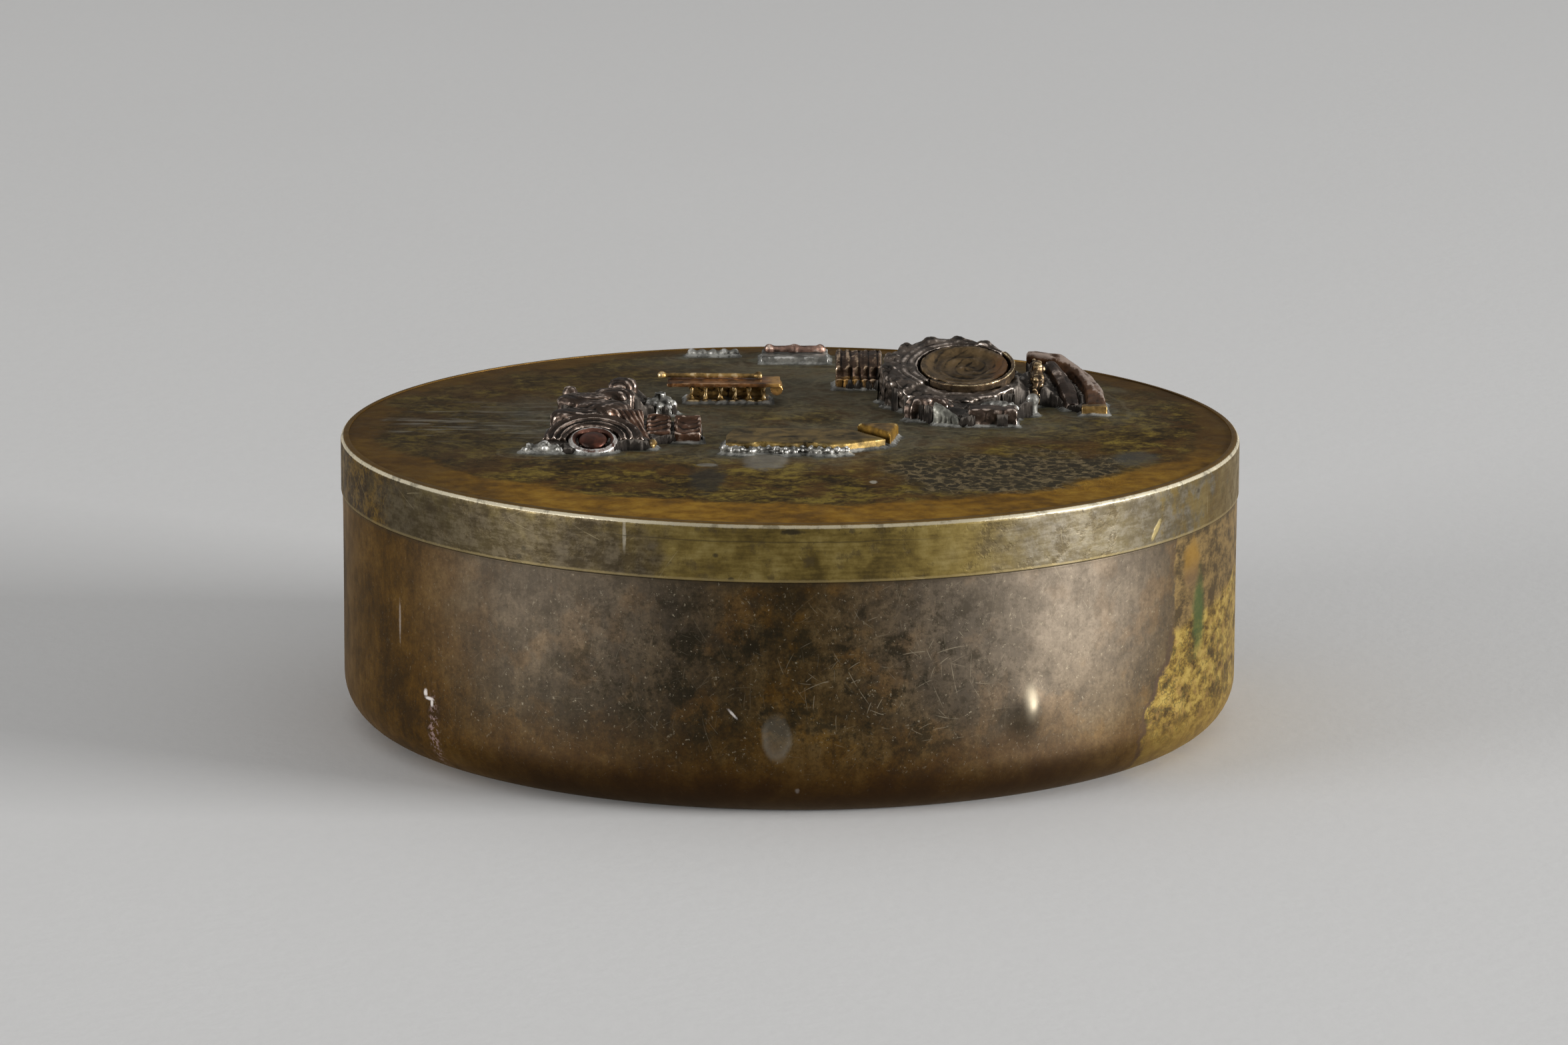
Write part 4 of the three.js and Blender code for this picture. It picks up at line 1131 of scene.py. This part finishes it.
# Each group's mounts as node, metal, relief, net and smoothing
MOUNTS = {
    "volute": [
        ("volute_boss", "boss_copper", boss_relief, 0.13, 14),
        ("volute_ring", "ring_silver", rough_relief, 0.12, 5),
        ("volute_hood", "dark_copper", hood_relief, 0.12, 6),
        ("volute_toe", "silver", scale_relief, 0.12, 9),
        ("rib_fan", "mount_copper", fan_relief, 0.12, 5),
        ("foot_beads", "gilt", rough_relief, 0.12, 5),
        ("panel_left", "mount_copper", leaf_relief, 0.12, 12),
        ("panel_right", "mount_copper", leaf_relief, 0.12, 12),
        ("tiered_leaf", "dark_copper", leaf_relief, 0.14, 8),
        ("petal", "dark_copper", leaf_relief, 0.14, 8),
        ("bud", "dark_copper", leaf_relief, 0.14, 8),
        ("rosette", "silver", scale_relief, 0.12, 5),
    ],
    "gallery": [
        ("gallery_row", "gilt", scale_relief, 0.12, 2),
        ("gallery_shelf", "shelf_copper", rough_relief, 0.12, 2),
        ("gallery_rod", "gilt", rough_relief, 0.12, 5),
    ],
    "plaque": [
        ("plaque_plate", "plaque_brass", plate_relief, 0.15, 4),
        ("plaque_beading", "silver", lace_relief, 0.12, 18),
        ("plaque_corner", "corner_gilt", plate_relief, 0.14, 4),
    ],
    "dish": [
        ("dish_bowl", "bowl_copper", bowl_relief, 0.13, 8),
        ("dish_crescent", "edge_gilt", rough_relief, 0.12, 6),
        ("dish_mane", "mane_copper", mane_relief, 0.14, 30),
        ("bib", "dark_copper", knob_relief, 0.13, 6),
        ("front_block", "dark_copper", knob_relief, 0.14, 3),
        ("silver_tuft", "silver", strand_relief, 0.12, 5),
        ("silver_leaf", "leaf_silver", strand_relief, 0.13, 10),
        ("gilt_scroll", "scroll_gilt", scale_relief, 0.12, 6),
        ("silver_bead", "silver", rough_relief, 0.12, 6),
        ("swept_leaf", "dark_copper", sweep_relief, 0.13, 6),
        ("wing", "wing_copper", sweep_relief, 0.15, 8),
        ("wing_end", "gilt", rough_relief, 0.12, 6),
        ("fluted_block", "fluted_copper", flute_relief, 0.13, 5),
    ],
    "bars": [
        ("silver_bar", "silver", rough_relief, 0.12, 8),
        ("bar_plate", "silver", rough_relief, 0.13, 6),
        ("copper_bar", "bar_copper", rough_relief, 0.12, 8),
    ],
}


def make_mount(node, metal, relief, voxel, smoothing):
    """One mount in fine relief. Gives back its points."""
    mesh = fine_mesh(node, voxel, smoothing)
    points = coordinates(mesh)
    rise = relief(points.copy())
    points += coordinates(mesh, "normal") * rise[:, None]
    points[:, 2] = np.minimum(points[:, 2], cad_box[1][2] / MM - CLEAR)
    mesh.vertices.foreach_set("co", (points * MM).ravel())
    mesh.update()
    mesh.shade_smooth()
    crest = CRESTS[node](points) if node in CRESTS else ease(rise, *np.percentile(rise, (5, 95)))
    store(mesh, "crest", crest)
    place_piece(node + "_relief", mesh, "lid", MATERIALS[metal], [node])
    return points


# Solder at the mounts' feet and the dark mass between their pieces, as nets of heights over the disc

def net_over(points, margin):
    """A flat net over some points: its own points, its size and the cell that each given point is in."""
    low = points[:, :2].min(axis=0) - margin
    size = np.ceil((points[:, :2].max(axis=0) + margin - low) / NET_CELL).astype(int) + 1
    column, row = np.meshgrid(np.arange(size[0]), np.arange(size[1]), indexing="ij")
    plan = np.stack([low[0] + column * NET_CELL, low[1] + row * NET_CELL, 0 * column], axis=2)
    cell = np.round((points[:, :2] - low) / NET_CELL).astype(int)
    return plan.reshape(-1, 3), size, cell


def net_piece(name, plan, size, height, shown, metal):
    """The shown part of a net, raised to its heights over the disc."""
    plan[:, 2] = DISC_TOP + height
    shown = shown.reshape(size)
    quads = shown[:-1, :-1] | shown[1:, :-1] | shown[:-1, 1:] | shown[1:, 1:]
    first = np.argwhere(quads) @ np.array([size[1], 1])
    faces = np.stack([first, first + size[1], first + size[1] + 1, first + 1], axis=1)
    used, order = np.unique(faces, return_inverse=True)
    points = plan[used]
    crest = ease(height[used] + 0.15 * waver(points, 0.5, 3), 0.0, 0.5)
    faces = order.reshape(-1, 4).tolist()
    piece(name, points, faces, "lid", "silver", MATERIALS[metal], crest=crest)


def steps_over(reach):
    """Every step in a square of cells round one cell."""
    return [(i - reach, j - reach) for i, j in np.ndindex(2 * reach + 1, 2 * reach + 1)]


def grown(mask, reach):
    """A mask spread by a reach in millimetres."""
    cells = int(reach / NET_CELL)
    spread = np.zeros_like(mask)
    for step in steps_over(cells):
        if math.hypot(*step) <= cells + 0.3:
            spread |= np.roll(mask, step, axis=(0, 1))
    return spread


def solder_run(name, feet, seed):
    """An uneven run of solder that climbs the foot of a mount."""
    plan, size, _ = net_over(feet, 3 * SOLDER_REACH)
    width = SOLDER_REACH * (0.75 + 0.25 * waver(plan, 2.2, seed))
    share = np.clip(1 - distances(plan, feet, NET_CELL) / width, 0, 1)
    height = SOLDER_RISE * share ** 1.2 * (1 + 0.25 * waver(plan, 0.8, seed + 1)) - 0.04
    net_piece(name, plan, size, height, share > 0, "solder")


def gap_fill(name, points, seed):
    """The dark mass between a group's pieces, a little lower than they stand, its dark colour partly
    painted shade.
    """
    plan, size, cell = net_over(points, 4 * GAP_REACH)
    tops = np.zeros(size)
    np.maximum.at(tops, (cell[:, 0], cell[:, 1]), points[:, 2] - DISC_TOP)
    filled = tops > 0
    closed = ~grown(~grown(filled, GAP_REACH), GAP_REACH)
    total = np.zeros(size)
    count = np.zeros(size)
    for step in steps_over(GAP_WINDOW):
        total += np.roll(tops, step, axis=(0, 1))
        count += np.roll(filled, step, axis=(0, 1))
    height = (GAP_LEVEL * total / np.maximum(count, 1)).ravel() * (1 + 0.12 * waver(plan, 1.1, seed))
    height = np.where(filled.ravel(), np.minimum(height, tops.ravel() - 0.3), height)
    height = np.where(closed.ravel(), height, -0.05)
    net_piece(name, plan, size, height, grown(closed & ~filled, 1.5 * NET_CELL), "fill")


def make_mounts():
    """All mounts, then their solder and the fill of the two large groups. Gives back the feet's points."""
    groups = {group: np.vstack([make_mount(*row) for row in rows]) for group, rows in MOUNTS.items()}
    feet = []
    for seed, (group, points) in enumerate(groups.items()):
        feet.append(points[points[:, 2] < DISC_TOP + FOOT_HEIGHT])
        solder_run("solder_" + group, feet[-1], 50 + 3 * seed)
        if group in FILLED:
            gap_fill("fill_" + group, points, 80 + seed)
    return np.vstack(feet)


# Stage

def make_floor():
    side = 4.0
    corners = [(-side, -side, 0), (side, -side, 0), (side, side, 0), (-side, side, 0)]
    mesh = bpy.data.meshes.new("floor")
    mesh.from_pydata(corners, [], [(0, 1, 2, 3)])
    mesh.materials.append(floor_material())
    added("floor", mesh)


def make_world():
    """A plain grey room, paler overhead."""
    world = bpy.data.worlds.new("room")
    bpy.context.scene.world = world
    world.use_nodes = True
    nodes, links = world.node_tree.nodes, world.node_tree.links
    where = nodes.new("ShaderNodeTexCoord")
    parts = nodes.new("ShaderNodeSeparateXYZ")
    ramp = nodes.new("ShaderNodeValToRGB")
    links.new(where.outputs["Generated"], parts.inputs[0])
    links.new(parts.outputs[2], ramp.inputs[0])
    for element, position, grey in zip(ramp.color_ramp.elements, (0.05, 0.85), ROOM_GREYS):
        element.position = position
        element.color = (grey, grey, grey, 1)
    links.new(ramp.outputs[0], nodes["Background"].inputs["Color"])
    nodes["Background"].inputs["Strength"].default_value = 1.0


def softbox(name, azimuth, power):
    """A low upright soft light that faces the box, its lower edge just over the floor."""
    turn = math.radians(azimuth)
    width, height = SOFTBOX_SIZE
    data = bpy.data.lights.new(name, "AREA")
    data.shape = "RECTANGLE"
    data.size = width
    data.size_y = height
    data.energy = power
    light = added(name, data)
    across, back = SOFTBOX_DISTANCE * math.sin(turn), -SOFTBOX_DISTANCE * math.cos(turn)
    light.location = (across, back, SOFTBOX_LIFT + height / 2)
    light.rotation_euler = (math.radians(90), 0, turn)
    light.visible_camera = False


def make_camera():
    data = bpy.data.cameras.new("camera")
    data.lens = CAMERA_LENS
    data.sensor_width = 36
    data.clip_start = 0.01
    camera = added("camera", data)
    aim = Matrix.Rotation(math.radians(90 - CAMERA_PITCH), 4, "X") @ Matrix.Rotation(CAMERA_ROLL, 4, "Z")
    camera.matrix_world = Matrix.Translation(CAMERA_PLACE) @ aim
    bpy.context.scene.camera = camera


bpy.context.scene.view_settings.view_transform = "Standard"
make_camera()
make_world()
softbox("softbox_right", *SOFTBOX_RIGHT)
softbox("softbox_left", *SOFTBOX_LEFT)
make_floor()
make_body()
make_collar()
make_lid(make_mounts())
